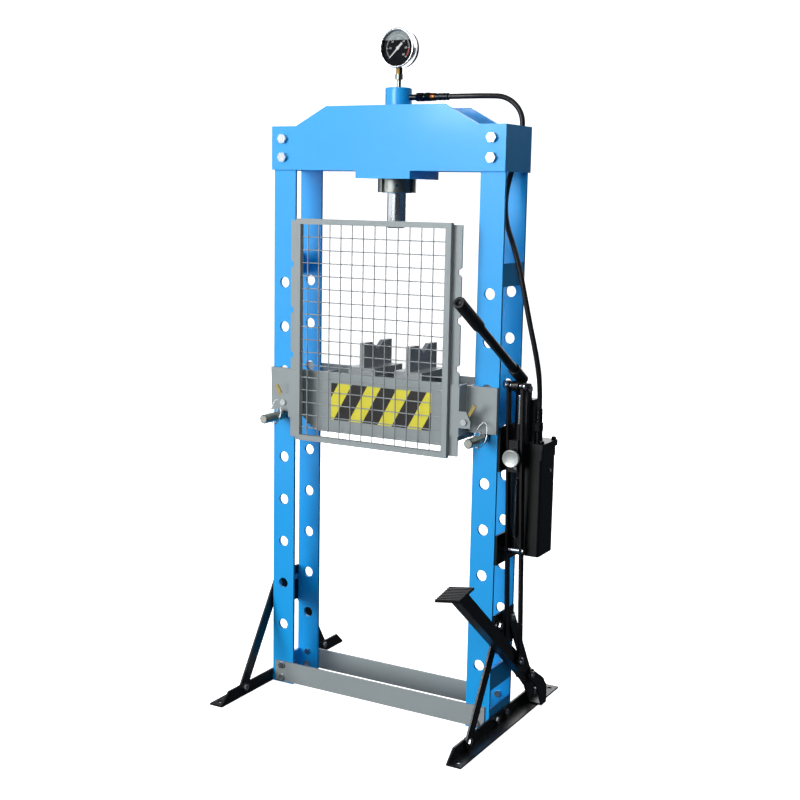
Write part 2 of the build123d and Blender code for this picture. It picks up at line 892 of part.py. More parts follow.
with BuildPart() as tank_lid:
    with BuildSketch(level(tank_top)):
        with Locations((tank_x, tank_y)):
            Rectangle(tank_width, tank_depth)
    extrude(amount=lid_block_height)
    with BuildSketch(level(tank_top + lid_block_height)):
        with Locations((tank_x + lid_overhang / 2, tank_y)):
            Rectangle(tank_width + lid_overhang, tank_depth + 2 * lid_overhang)
    extrude(amount=lid_plate_height)
tank_lid.part.label = "tank_lid"
export_step(tank_lid.part, "parts/tank_lid.step")

# Pump body: valve block in front of the lid, barrel and fulcrum ears on one casting
lid_front = tank_front - lid_overhang
valve_depth = lid_front - valve_front
ear_inner = rocker_width / 2 + ear_gap
pump_base_width = 2 * (ear_inner + ear_thickness)
with BuildPart() as pump_body:
    with BuildSketch(level(valve_bottom)):
        with Locations((pump_offset, (valve_front + lid_front) / 2)):
            Rectangle(valve_width, valve_depth)
    extrude(amount=pump_base_top - valve_bottom)
    with BuildSketch(level(lid_top)):
        with Locations((pump_offset, (valve_front + pump_base_back) / 2)):
            Rectangle(valve_width, pump_base_back - valve_front)
        with Locations((pump_offset, (lid_front + pump_base_back) / 2)):
            Rectangle(pump_base_width, pump_base_back - lid_front)
    extrude(amount=pump_base_height)
    with BuildSketch(level(lid_top)):
        with Locations((pump_offset, (housing_front + housing_back) / 2)):
            Rectangle(2 * housing_half_width, housing_back - housing_front)
    extrude(amount=housing_height)
    with BuildSketch(level(pump_base_top)):
        with Locations((pump_offset, plunger_depth)):
            Circle(barrel_outer_radius)
    extrude(amount=barrel_height)
    with BuildSketch(level(pump_base_top + barrel_bore_floor - pump_base_height)):
        with Locations((pump_offset, plunger_depth)):
            Circle(plunger_radius + plunger_clearance)
    extrude(amount=barrel_height + pump_base_height, mode=Mode.SUBTRACT)
    for x_sign in (-1, 1):
        with BuildSketch(along(pump_offset + x_sign * (ear_inner + ear_thickness / 2))):
            with Locations((fulcrum_depth, (pump_base_top + fulcrum_height) / 2)):
                Rectangle(2 * ear_half_depth, fulcrum_height - pump_base_top)
            with Locations((fulcrum_depth, fulcrum_height)):
                Circle(ear_half_depth)
                Circle(fulcrum_radius, mode=Mode.SUBTRACT)
        extrude(amount=ear_thickness / 2, both=True)
    with BuildSketch(across(valve_front)):
        with Locations((pump_offset, knob_height)):
            Circle(knob_screw_radius + knob_clearance)
    extrude(amount=-knob_screw_length, mode=Mode.SUBTRACT)
pump_body.part.label = "pump_body"
export_step(pump_body.part, "parts/pump_body.step")

# Brackets that carry the tank on the column
upper_bracket_bottom = tank_top - upper_bracket_lap
upper_bracket_top = upper_bracket_bottom + upper_bracket_height
lower_bracket_bottom = tank_bottom - lower_bracket_drop
lower_bracket_top = lower_bracket_bottom + lower_bracket_height
with BuildPart() as pump_brackets:
    with BuildSketch(along(column_half_span)):
        with Locations(((bracket_front + bracket_back) / 2, (upper_bracket_bottom + upper_bracket_top) / 2)):
            Rectangle(bracket_back - bracket_front, upper_bracket_height)
        with Locations(((bracket_front + bracket_back) / 2, (lower_bracket_bottom + lower_bracket_top) / 2)):
            Rectangle(bracket_back - bracket_front, lower_bracket_height)
    extrude(amount=bracket_thickness)
pump_brackets.part.label = "pump_brackets"
export_step(pump_brackets.part, "parts/pump_brackets.step")

# Release knob, turned with its valve screw
knob_back = valve_front - knob_stem_length
with BuildPart() as release_knob:
    with BuildSketch(across(valve_front + knob_screw_length - overrun)):
        with Locations((pump_offset, knob_height)):
            Circle(knob_screw_radius)
    extrude(amount=knob_screw_length - overrun)
    with BuildSketch(across(valve_front - rest_gap)):
        with Locations((pump_offset, knob_height)):
            Circle(knob_stem_radius)
    extrude(amount=knob_stem_length - rest_gap)
    with BuildSketch(across(valve_front)):
        with Locations((pump_offset, knob_height)):
            Circle(knob_screw_radius)
    extrude(amount=rest_gap)
    with BuildSketch(across(knob_back)):
        with Locations((pump_offset, knob_height)):
            Circle(knob_radius)
    extrude(amount=knob_thickness)
    knob_face = release_knob.faces().sort_by(Axis.Y)[0]
    chamfer(knob_face.edges(), knob_edge)
release_knob.part.label = "release_knob"
export_step(release_knob.part, "parts/release_knob.step")

# Rocker of the hand lever: hull of its two bosses and the socket of the tube
axle_y = fulcrum_depth - axle_arm * cos(radians(axle_rise_angle))
axle_z = fulcrum_height + axle_arm * sin(radians(axle_rise_angle))
handle_run = Vector(0, -cos(radians(handle_angle)), sin(radians(handle_angle)))
handle_up = Vector(0, sin(radians(handle_angle)), cos(radians(handle_angle)))
handle_foot = Vector(pump_offset, fulcrum_depth, fulcrum_height) + handle_up * handle_offset


def on_handle(distance):
    return Plane(origin=handle_foot + handle_run * distance, x_dir=(1, 0, 0), z_dir=handle_run)


with BuildPart() as rocker:
    with BuildSketch(along(pump_offset)):
        with Locations((fulcrum_depth, fulcrum_height)):
            Circle(rocker_fulcrum_boss)
        with Locations((axle_y, axle_z)):
            Circle(rocker_axle_boss)
        make_hull()
    extrude(amount=rocker_width / 2, both=True)
    with BuildSketch(on_handle(socket_start)):
        Circle(socket_radius)
    extrude(amount=socket_end - socket_start)
    with BuildSketch(on_handle(tube_start)):
        Circle(tube_radius)
    extrude(amount=socket_end, mode=Mode.SUBTRACT)
    with BuildSketch(along(pump_offset)):
        with Locations((fulcrum_depth, fulcrum_height)):
            Circle(fulcrum_radius + pivot_clearance)
        with Locations((axle_y, axle_z)):
            Circle(axle_radius)
    extrude(amount=rocker_width, both=True, mode=Mode.SUBTRACT)
rocker.part.label = "rocker"
export_step(rocker.part, "parts/rocker.step")

with BuildPart() as lever_tube:
    with BuildSketch(on_handle(tube_start)):
        Circle(tube_radius)
        Circle(tube_radius - tube_wall, mode=Mode.SUBTRACT)
    extrude(amount=tube_end - tube_start)
lever_tube.part.label = "lever_tube"
export_step(lever_tube.part, "parts/lever_tube.step")

with BuildPart() as lever_grip:
    with BuildSketch(on_handle(tube_end + grip_past_tube)):
        Circle(grip_radius)
    extrude(amount=-grip_length)
    fillet(lever_grip.edges().sort_by(Axis.Y)[0], grip_edge)
    with BuildSketch(on_handle(tube_end)):
        Circle(tube_radius)
    extrude(amount=-grip_length, mode=Mode.SUBTRACT)
    with BuildSketch(on_handle(tube_end)):
        Circle(grip_hole_radius)
    extrude(amount=grip_past_tube, mode=Mode.SUBTRACT)
lever_grip.part.label = "lever_grip"
export_step(lever_grip.part, "parts/lever_grip.step")

# Axle of the links, fixed in the rocker
link_outer = link_half_gap + link_thickness
with BuildPart() as link_axle:
    with BuildSketch(along(pump_offset)):
        with Locations((axle_y, axle_z)):
            Circle(axle_radius)
    extrude(amount=link_outer + rest_gap, both=True)
    for x_sign in (-1, 1):
        with BuildSketch(along(pump_offset + x_sign * (link_outer + rest_gap))):
            with Locations((axle_y, axle_z)):
                Circle(axle_head_radius)
        extrude(amount=x_sign * axle_head_thickness)
link_axle.part.label = "link_axle"
export_step(link_axle.part, "parts/link_axle.step")

# Link bars from the axle down to the pedal
pedal_run_y = -cos(radians(pedal_angle))
pedal_run_z = sin(radians(pedal_angle))
link_foot_y = pedal_depth + pedal_link_arm * pedal_run_y
link_foot_z = pedal_height + pedal_link_arm * pedal_run_z
link_length = hypot(axle_y - link_foot_y, axle_z - link_foot_z)
link_lean = degrees(atan2(axle_z - link_foot_z, axle_y - link_foot_y))
link_middle = ((axle_y + link_foot_y) / 2, (axle_z + link_foot_z) / 2)
spreader_share = (spreader_height - link_foot_z) / (axle_z - link_foot_z)
spreader_y = link_foot_y + spreader_share * (axle_y - link_foot_y)
with BuildPart() as link_bars:
    for x_sign in (-1, 1):
        with BuildSketch(along(pump_offset + x_sign * (link_half_gap + link_thickness / 2))):
            with Locations(Location(link_middle, link_lean)):
                Rectangle(link_length, link_width)
            with Locations((axle_y, axle_z), (link_foot_y, link_foot_z)):
                Circle(link_end_radius)
            with Locations((axle_y, axle_z)):
                Circle(axle_radius + pivot_clearance, mode=Mode.SUBTRACT)
            with Locations((link_foot_y, link_foot_z)):
                Circle(pedal_pin_radius + link_slot_clearance, mode=Mode.SUBTRACT)
            with Locations((spreader_y, spreader_height)):
                Circle(spreader_radius, mode=Mode.SUBTRACT)
        extrude(amount=link_thickness / 2, both=True)
link_bars.part.label = "link_bars"
export_step(link_bars.part, "parts/link_bars.step")

with BuildPart() as link_spreader:
    with BuildSketch(along(pump_offset)):
        with Locations((spreader_y, spreader_height)):
            Circle(spreader_radius)
    extrude(amount=link_outer, both=True)
    for x_sign in (-1, 1):
        with BuildSketch(along(pump_offset + x_sign * link_outer)):
            with Locations((spreader_y, spreader_height)):
                Circle(spreader_head_radius)
        extrude(amount=x_sign * spreader_head_thickness)
link_spreader.part.label = "link_spreader"
export_step(link_spreader.part, "parts/link_spreader.step")

# Return spring between the valve block and the spreader, close wound
with BuildPart() as return_spring:
    with BuildSketch(level(spring_bottom)):
        with Locations((pump_offset, spreader_y)):
            Circle(spring_radius)
    extrude(amount=spring_top - spring_bottom)
    with BuildSketch(level(spring_top)):
        with Locations((pump_offset, spreader_y)):
            Circle(spring_wire)
    extrude(amount=valve_bottom - spring_top)
    with BuildSketch(level(spring_bottom)):
        with Locations((pump_offset, spreader_y)):
            Circle(spring_wire)
    extrude(amount=-(spring_bottom - spreader_height - spreader_radius - spring_hook_gap))
return_spring.part.label = "return_spring"
export_step(return_spring.part, "parts/return_spring.step")

# Plunger with a domed crown just under the rocker
rocker_taper = (rocker_fulcrum_boss - rocker_axle_boss) / axle_arm
plunger_arm = fulcrum_depth - plunger_depth
rocker_half_there = rocker_fulcrum_boss - rocker_taper * plunger_arm
crown_reach = rocker_half_there + plunger_radius + plunger_gap
crown_drop = crown_reach - plunger_arm * sin(radians(axle_rise_angle))
crown_z = fulcrum_height - crown_drop / cos(radians(axle_rise_angle))
with BuildPart() as plunger:
    with BuildSketch(level(plunger_bottom)):
        with Locations((pump_offset, plunger_depth)):
            Circle(plunger_radius)
    extrude(amount=crown_z - plunger_bottom)
    with Locations((pump_offset, plunger_depth, crown_z)):
        Sphere(plunger_radius)
plunger.part.label = "plunger"
export_step(plunger.part, "parts/plunger.step")

# Pedal: channel lever, tread plate with ribs, and the bolt to the links
pedal_top_run = (tread_bottom - pedal_height) / pedal_run_z
pedal_long_run = pedal_top_run + pedal_spare
pedal_plane = along(pump_offset)


def on_pedal(run, rise):
    y = pedal_depth + run * pedal_run_y + rise * pedal_run_z
    z = pedal_height + run * pedal_run_z - rise * pedal_run_y
    return (y, z)


def pedal_cut(rise):
    # Where a line at this height above the lever's axis meets the level of the tread's underside
    run = (tread_bottom - pedal_height + rise * pedal_run_y) / pedal_run_z
    return on_pedal(run, rise)


tread_middle = (pedal_cut(-pedal_half_depth)[0] + pedal_cut(pedal_half_depth)[0]) / 2 - tread_overhang
tread_plane = Plane(
    origin=(pump_offset, tread_middle, tread_bottom),
    x_dir=(1, 0, tan(radians(tread_roll))),
    z_dir=(-tan(radians(tread_roll)), -tan(radians(tread_pitch)), 1),
)
with BuildPart() as pedal_lever:
    with BuildSketch(pedal_plane):
        with BuildLine():
            Polyline(
                on_pedal(-pedal_tail, -pedal_half_depth),
                on_pedal(pedal_long_run, -pedal_half_depth),
                on_pedal(pedal_long_run, pedal_half_depth),
                on_pedal(-pedal_tail, pedal_half_depth),
                close=True,
            )
        make_face()
    extrude(amount=pedal_half_width, both=True)
    with BuildSketch(pedal_plane):
        with BuildLine():
            Polyline(
                on_pedal(-pedal_tail - overrun, pedal_wall - pedal_half_depth),
                on_pedal(pedal_long_run + overrun, pedal_wall - pedal_half_depth),
                on_pedal(pedal_long_run + overrun, pedal_half_depth + overrun),
                on_pedal(-pedal_tail - overrun, pedal_half_depth + overrun),
                close=True,
            )
        make_face()
    extrude(amount=pedal_half_width - pedal_wall, both=True, mode=Mode.SUBTRACT)
    with BuildSketch(pedal_plane):
        with Locations((pedal_depth, pedal_height)):
            Circle(pedal_pin_radius + pivot_clearance)
        with Locations((link_foot_y, link_foot_z)):
            Circle(pedal_pin_radius)
    extrude(amount=pedal_half_width + overrun, both=True, mode=Mode.SUBTRACT)
    split(bisect_by=tread_plane, keep=Keep.BOTTOM)
pedal_lever.part.label = "pedal_lever"
export_step(pedal_lever.part, "parts/pedal_lever.step")

with BuildPart() as pedal_tread:
    with BuildSketch(tread_plane):
        Rectangle(2 * tread_half_width, tread_length)
    extrude(amount=tread_thickness)
    with BuildSketch(tread_plane.offset(tread_thickness)):
        with GridLocations(0, tread_length / tread_rib_count, 1, tread_rib_count):
            Rectangle(2 * tread_half_width, tread_rib_width)
    extrude(amount=tread_rib_height)
pedal_tread.part.label = "pedal_tread"
export_step(pedal_tread.part, "parts/pedal_tread.step")

with BuildPart() as pedal_link_bolt:
    with BuildSketch(along(pump_offset)):
        with Locations((link_foot_y, link_foot_z)):
            Circle(pedal_pin_radius)
    extrude(amount=link_outer + rest_gap, both=True)
    for x_sign in (-1, 1):
        with BuildSketch(along(pump_offset + x_sign * (link_outer + rest_gap))):
            with Locations((link_foot_y, link_foot_z)):
                Circle(pin_head_radius)
        extrude(amount=x_sign * pin_head_thickness)
pedal_link_bolt.part.label = "pedal_link_bolt"
export_step(pedal_link_bolt.part, "parts/pedal_link_bolt.step")

# Pedal bracket: two cheeks on a base plate
cheek_inner = pedal_half_width + cheek_gap
cheek_outer = cheek_inner + cheek_thickness
cheek_floor = foot_thickness + cheek_base_height
with BuildPart() as pedal_bracket:
    with BuildSketch(level(foot_thickness)):
        with Locations((pump_offset, (cheek_front + cheek_back) / 2)):
            Rectangle(2 * cheek_outer, cheek_back - cheek_front)
    extrude(amount=cheek_base_height)
    for x_sign in (-1, 1):
        with BuildSketch(along(pump_offset + x_sign * (cheek_inner + cheek_thickness / 2))):
            with BuildLine():
                Polyline(
                    (cheek_front, cheek_floor),
                    (cheek_throat_depth, cheek_throat_height),
                    (pedal_depth, pedal_height - cheek_crown),
                    (pedal_depth, pedal_height + cheek_crown),
                    (cheek_shoulder_depth, cheek_shoulder_height),
                    (cheek_back, cheek_back_height),
                    (cheek_back, cheek_floor),
                    close=True,
                )
            make_face()
            with Locations((pedal_depth, pedal_height)):
                Circle(cheek_crown)
                Circle(pedal_pin_radius, mode=Mode.SUBTRACT)
        extrude(amount=cheek_thickness / 2, both=True)
pedal_bracket.part.label = "pedal_bracket"
export_step(pedal_bracket.part, "parts/pedal_bracket.step")

# Pivot pins of the hand lever and the pedal
ear_outer_half = ear_inner + ear_thickness
with BuildPart() as pivot_pins:
    for pin_y, pin_z, radius, half in (
        (fulcrum_depth, fulcrum_height, fulcrum_radius, ear_outer_half),
        (pedal_depth, pedal_height, pedal_pin_radius, cheek_outer),
    ):
        with BuildSketch(along(pump_offset)):
            with Locations((pin_y, pin_z)):
                Circle(radius)
        extrude(amount=half, both=True)
        for x_sign in (-1, 1):
            with BuildSketch(along(pump_offset + x_sign * half)):
                with Locations((pin_y, pin_z)):
                    Circle(pin_head_radius)
            extrude(amount=x_sign * pin_head_thickness)
pivot_pins.part.label = "pivot_pins"
export_step(pivot_pins.part, "parts/pivot_pins.step")

# Bed plates with the deep belly between the columns
bed_inner_depth = column_half_depth + bed_clearance
bed_outer_depth = bed_inner_depth + bed_plate_thickness
for row, y_sign in (("front", -1), ("rear", 1)):
    with BuildPart() as bed_plate:
        with BuildSketch(across(y_sign * (bed_inner_depth + bed_plate_thickness / 2))):
            with BuildLine():
                Polyline(
                    (-bed_half_length, bed_end_bottom),
                    (-bed_half_length, bed_top),
                    (bed_half_length, bed_top),
                    (bed_half_length, bed_end_bottom),
                    (bed_step_half, bed_end_bottom),
                    (bed_belly_half, bed_belly),
                    (-bed_belly_half, bed_belly),
                    (-bed_step_half, bed_end_bottom),
                    close=True,
                )
            make_face()
        extrude(amount=bed_plate_thickness / 2, both=True)
    bed_plate.part.label = f"bed_plate_{row}"
    export_step(bed_plate.part, f"parts/bed_plate_{row}.step")

with BuildPart() as bed_spacers:
    for x_sign in (-1, 1):
        with BuildSketch(along(x_sign * bed_spacer_offset)):
            with Locations((0, (bed_spacer_bottom + bed_spacer_top) / 2)):
                Rectangle(2 * bed_inner_depth, bed_spacer_top - bed_spacer_bottom)
        extrude(amount=bed_spacer_thickness / 2, both=True)
bed_spacers.part.label = "bed_spacers"
export_step(bed_spacers.part, "parts/bed_spacers.step")

# Bed pins through the posts
for hand, x_sign in sides:
    with BuildPart() as bed_pin:
        with BuildSketch(across(pin_back)):
            with Locations((x_sign * post_centre, pin_height)):
                Circle(pin_radius)
        extrude(amount=pin_back - pin_front)
        chamfer(bed_pin.edges().filter_by(GeomType.CIRCLE), pin_edge)
    bed_pin.part.label = f"bed_pin_{hand}"
    export_step(bed_pin.part, f"parts/bed_pin_{hand}.step")

# V-blocks: flat base with an upright web, notched across its top
with BuildPart() as v_blocks:
    for block_x in (block_left_offset, block_right_offset):
        with BuildSketch(level(bed_top)):
            with Locations((block_x, 0)):
                Rectangle(block_base_width, 2 * block_half_depth)
        extrude(amount=block_base_height)
        with BuildSketch(along(block_x)):
            with BuildLine():
                Polyline(
                    (-block_half_depth, bed_top + block_base_height),
                    (-block_half_depth, block_top),
                    (-block_notch_half, block_top),
                    (0, block_top - block_notch_depth),
                    (block_notch_half, block_top),
                    (block_half_depth, block_top),
                    (block_half_depth, bed_top + block_base_height),
                    close=True,
                )
            make_face()
        extrude(amount=block_web_thickness / 2, both=True)
v_blocks.part.label = "v_blocks"
export_step(v_blocks.part, "parts/v_blocks.step")

# Guard frame
guard_back = guard_front + guard_bar
guard_middle = (guard_bottom + guard_top) / 2
with BuildPart() as guard_frame:
    with BuildSketch(across(guard_back)):
        with Locations((0, guard_middle)):
            Rectangle(2 * guard_half_width, guard_height)
            Rectangle(2 * (guard_half_width - guard_bar), guard_height - 2 * guard_bar, mode=Mode.SUBTRACT)
    extrude(amount=guard_bar)
guard_frame.part.label = "guard_frame"
export_step(guard_frame.part, "parts/guard_frame.step")

# Wire mesh: upright wires in front, cross wires behind
mesh_half_width = guard_half_width - guard_bar
mesh_bottom = guard_bottom + guard_bar
mesh_height = guard_height - 2 * guard_bar
upright_count = int(2 * mesh_half_width / mesh_pitch) + 1
cross_count = int(mesh_height / mesh_pitch)
mesh_y = guard_front + guard_bar / 2
wire_shift = (wire_diameter + wire_gap) / 2
with BuildPart() as guard_mesh:
    with BuildSketch(level(mesh_bottom)):
        with Locations((mesh_shift_across, mesh_y - wire_shift)):
            with GridLocations(mesh_pitch, 0, upright_count, 1):
                Circle(wire_diameter / 2)
    extrude(amount=mesh_height)
    with BuildSketch(along(-mesh_half_width)):
        with Locations((mesh_y + wire_shift, guard_middle - mesh_shift_down)):
            with GridLocations(0, mesh_pitch, 1, cross_count):
                Circle(wire_diameter / 2)
    extrude(amount=2 * mesh_half_width)
guard_mesh.part.label = "guard_mesh"
export_step(guard_mesh.part, "parts/guard_mesh.step")

# Guide bars behind the stiles, notched along their outer edges
notch_heights = [notch_first_height + hole_pitch * i for i in range(notch_count)]
with BuildPart() as guard_guides:
    for x_sign in (-1, 1):
        with BuildSketch(across(guard_back)):
            with Locations((x_sign * (guide_inner + guide_outer) / 2, guard_middle)):
                Rectangle(guide_outer - guide_inner, guard_height - 2 * guide_end_gap)
            for notch_z in notch_heights:
                with BuildLine():
                    Polyline(
                        (x_sign * (guide_outer + overrun), notch_z - notch_half_height),
                        (x_sign * guide_outer, notch_z - notch_half_height),
                        (x_sign * (guide_outer - notch_depth), notch_z - notch_half_floor),
                        (x_sign * (guide_outer - notch_depth), notch_z + notch_half_floor),
                        (x_sign * guide_outer, notch_z + notch_half_height),
                        (x_sign * (guide_outer + overrun), notch_z + notch_half_height),
                        close=True,
                    )
                make_face(mode=Mode.SUBTRACT)
        extrude(amount=-guide_thickness)
guard_guides.part.label = "guard_guides"
export_step(guard_guides.part, "parts/guard_guides.step")

# Sleeves on the bed: channels round the guide bars, with an ear for each latch
lip_back = guard_back - sleeve_clearance
lip_front = lip_back - sleeve_wall
channel_back = guard_back + guide_thickness + sleeve_clearance
wall_inner = guide_outer + sleeve_clearance
wall_outer = wall_inner + sleeve_wall
with BuildPart() as guard_sleeves:
    for x_sign in (-1, 1):
        with BuildSketch(level(sleeve_bottom)):
            with Locations((x_sign * (wall_inner + wall_outer) / 2, (lip_front - bed_outer_depth) / 2)):
                Rectangle(sleeve_wall, -bed_outer_depth - lip_front)
            with Locations((x_sign * (sleeve_inner + wall_outer) / 2, (lip_front + lip_back) / 2)):
                Rectangle(wall_outer - sleeve_inner, sleeve_wall)
            with Locations((x_sign * (sleeve_inner + wall_outer) / 2, channel_back + sleeve_wall / 2)):
                Rectangle(wall_outer - sleeve_inner, sleeve_wall)
        extrude(amount=sleeve_height)
        with BuildSketch(across(lip_back)):
            with BuildLine():
                Polyline(
                    (x_sign * wall_inner, ear_bottom),
                    (x_sign * ear_outer, ear_bottom),
                    (x_sign * ear_outer, ear_top - 2 * ear_corner),
                    (x_sign * (ear_outer - ear_corner), ear_top),
                    (x_sign * wall_inner, ear_top),
                    close=True,
                )
            make_face()
            with Locations((x_sign * latch_offset, latch_height)):
                Circle(latch_pin_radius, mode=Mode.SUBTRACT)
        extrude(amount=sleeve_wall)
        with BuildSketch(across(lip_back)):
            with Locations((x_sign * (wall_inner + wall_outer) / 2, latch_height)):
                Rectangle(sleeve_wall + overrun, 2 * latch_window_half)
        extrude(amount=-(channel_back - lip_back), mode=Mode.SUBTRACT)
guard_sleeves.part.label = "guard_sleeves"
export_step(guard_sleeves.part, "parts/guard_sleeves.step")

# Latches behind the ears: tooth towards the guide, arm up and outwards
latch_front = lip_back + rest_gap
tooth_tip = guide_outer + latch_tooth_gap
arm_lean = degrees(atan2(latch_arm_rise, latch_arm_out))
arm_length = hypot(latch_arm_out, latch_arm_rise)
arm_middle_x = latch_offset + latch_arm_out / 2
arm_middle_z = latch_height + latch_arm_rise / 2
for hand, x_sign in sides:
    with BuildPart() as latch:
        with BuildSketch(across(latch_front)):
            with Locations((x_sign * latch_offset, latch_height)):
                Circle(latch_boss_radius)
            with Locations((x_sign * (tooth_tip + latch_offset) / 2, latch_height)):
                Rectangle(latch_offset - tooth_tip, 2 * latch_tooth_half)
            with Locations(Location((x_sign * arm_middle_x, arm_middle_z), x_sign * arm_lean)):
                Rectangle(arm_length, 2 * latch_arm_half)
            with Locations((x_sign * latch_offset, latch_height)):
                Circle(latch_pin_radius + latch_pin_clearance, mode=Mode.SUBTRACT)
        extrude(amount=-latch_thickness)
    latch.part.label = f"latch_{hand}"
    export_step(latch.part, f"parts/latch_{hand}.step")

latch_far = latch_front + latch_thickness + rest_gap
with BuildPart() as latch_bolts:
    for x_sign in (-1, 1):
        with BuildSketch(across(latch_far)):
            with Locations((x_sign * latch_offset, latch_height)):
                Circle(latch_pin_radius)
        extrude(amount=latch_far - lip_front)
        with BuildSketch(across(lip_front)):
            with Locations((x_sign * latch_offset, latch_height)):
                hexagon(2 * latch_head_radius)
        extrude(amount=latch_head_thickness)
        with BuildSketch(across(latch_far)):
            with Locations((x_sign * latch_offset, latch_height)):
                hexagon(2 * latch_head_radius)
        extrude(amount=-latch_head_thickness)
latch_bolts.part.label = "latch_bolts"
export_step(latch_bolts.part, "parts/latch_bolts.step")
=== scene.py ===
import math

import bmesh
import bpy
import numpy as np
from mathutils import Matrix, Vector


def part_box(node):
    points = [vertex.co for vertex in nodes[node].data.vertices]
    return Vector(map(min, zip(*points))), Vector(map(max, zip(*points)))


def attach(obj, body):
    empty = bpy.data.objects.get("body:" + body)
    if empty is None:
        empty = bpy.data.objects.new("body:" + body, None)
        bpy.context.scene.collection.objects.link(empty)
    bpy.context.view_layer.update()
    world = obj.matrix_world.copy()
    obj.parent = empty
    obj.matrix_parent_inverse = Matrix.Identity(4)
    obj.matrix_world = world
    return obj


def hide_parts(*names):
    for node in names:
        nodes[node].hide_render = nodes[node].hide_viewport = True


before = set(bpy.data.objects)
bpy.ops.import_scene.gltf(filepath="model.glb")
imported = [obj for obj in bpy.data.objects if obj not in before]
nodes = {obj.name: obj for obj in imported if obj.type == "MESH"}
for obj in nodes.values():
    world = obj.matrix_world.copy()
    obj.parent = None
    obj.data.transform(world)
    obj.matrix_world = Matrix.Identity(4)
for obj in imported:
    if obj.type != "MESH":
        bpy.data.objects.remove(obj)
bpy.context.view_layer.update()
mm = 0.001  # the frame is in metres
print("frame loaded,", len(nodes), "nodes")


def hexLinear(code):  # sRGB hex to linear light
    channels = np.array([int(code[i:i + 2], 16) for i in (1, 3, 5)]) / 255
    linear = np.where(channels <= 0.04045, channels / 12.92, ((channels + 0.055) / 1.055) ** 2.4)
    return (*linear.tolist(), 1.0)


def perMm(size):  # texture scale for a feature this many millimetres long
    return 1 / (size * mm)


def setSockets(tree, node, sockets):  # links another node's output, or sets a constant
    for key, value in sockets.items():
        if isinstance(value, bpy.types.NodeSocket):
            tree.links.new(value, node.inputs[key])
        else:
            node.inputs[key].default_value = value


def addNode(tree, kind, sockets=None, **settings):
    node = tree.nodes.new(kind)
    for key, value in settings.items():
        setattr(node, key, value)
    setSockets(tree, node, sockets or {})
    return node


def addNoise(tree, place, size, detail):  # noise with features this many millimetres long
    sockets = {"Vector": place, "Scale": perMm(size), "Detail": detail}
    return addNode(tree, "ShaderNodeTexNoise", sockets).outputs["Fac"]


def mixColours(tree, share, low, high):  # each colour is a hex code or another node's output
    low, high = (hexLinear(tone) if isinstance(tone, str) else tone for tone in (low, high))
    return addNode(tree, "ShaderNodeMix", {0: share, 6: low, 7: high}, data_type="RGBA").outputs[2]


def addRoughness(tree, share, look):  # the middle of a noise, spread about the roughness
    sockets = {"Value": share, "From Min": 0.3, "From Max": 0.7,
               "To Min": look["roughness"] - look["spread"], "To Max": look["roughness"] + look["spread"]}
    return addNode(tree, "ShaderNodeMapRange", sockets).outputs["Result"]


def addBump(tree, height, strength, depth):  # depth in millimetres
    sockets = {"Height": height, "Strength": strength, "Distance": depth * mm}
    return addNode(tree, "ShaderNodeBump", sockets).outputs["Normal"]


def addMath(tree, operation, *values):
    return addNode(tree, "ShaderNodeMath", dict(enumerate(values)), operation=operation).outputs[0]


def startMaterial(name):
    made = bpy.data.materials.new(name)
    made.use_nodes = True
    tree = made.node_tree
    place = addNode(tree, "ShaderNodeTexCoord").outputs["Object"]
    return made, tree, tree.nodes["Principled BSDF"], place


def sprayedPaint(name, look):  # sprayed enamel on steel: faint orange peel, a film that is a little uneven
    made, tree, shader, place = startMaterial(name)
    patch = addNoise(tree, place, look["patchMm"], 4.0)
    speck = addNoise(tree, place, look["speckMm"], 2.0)
    peel = addNoise(tree, place, look["peelMm"], 1.0)
    setSockets(tree, shader, {
        "Base Color": mixColours(tree, patch, look["dark"], look["light"]),
        "Roughness": addRoughness(tree, speck, look), "Normal": addBump(tree, peel, look["peel"], 0.2),
        "IOR": 1.5, "Coat Weight": look["coat"], "Coat Roughness": 0.12})
    return made


def platedSteel(name, look):  # bare or plated metal: blotchy sheen, fine grain along one way
    made, tree, shader, place = startMaterial(name)
    blotch = addNoise(tree, place, look["blotchMm"], 3.0)
    stretched = addNode(tree, "ShaderNodeMapping", {"Vector": place, "Scale": look["grainStretch"]})
    grain = addNoise(tree, stretched.outputs["Vector"], look["grainMm"], 2.0)
    setSockets(tree, shader, {
        "Base Color": mixColours(tree, blotch, look["dark"], look["light"]),
        "Metallic": look.get("metallic", 1.0), "Roughness": addRoughness(tree, grain, look),
        "Normal": addBump(tree, grain, look["groove"], 0.1)})
    return made


def mouldedRubber(name, look):  # black rubber: dull, with a fine matt grain
    made, tree, shader, place = startMaterial(name)
    grain = addNoise(tree, place, look["grainMm"], 3.0)
    setSockets(tree, shader, {
        "Base Color": mixColours(tree, grain, look["dark"], look["light"]), "Roughness": look["roughness"],
        "Normal": addBump(tree, grain, look["grain"], 0.15), "IOR": 1.52})
    return made


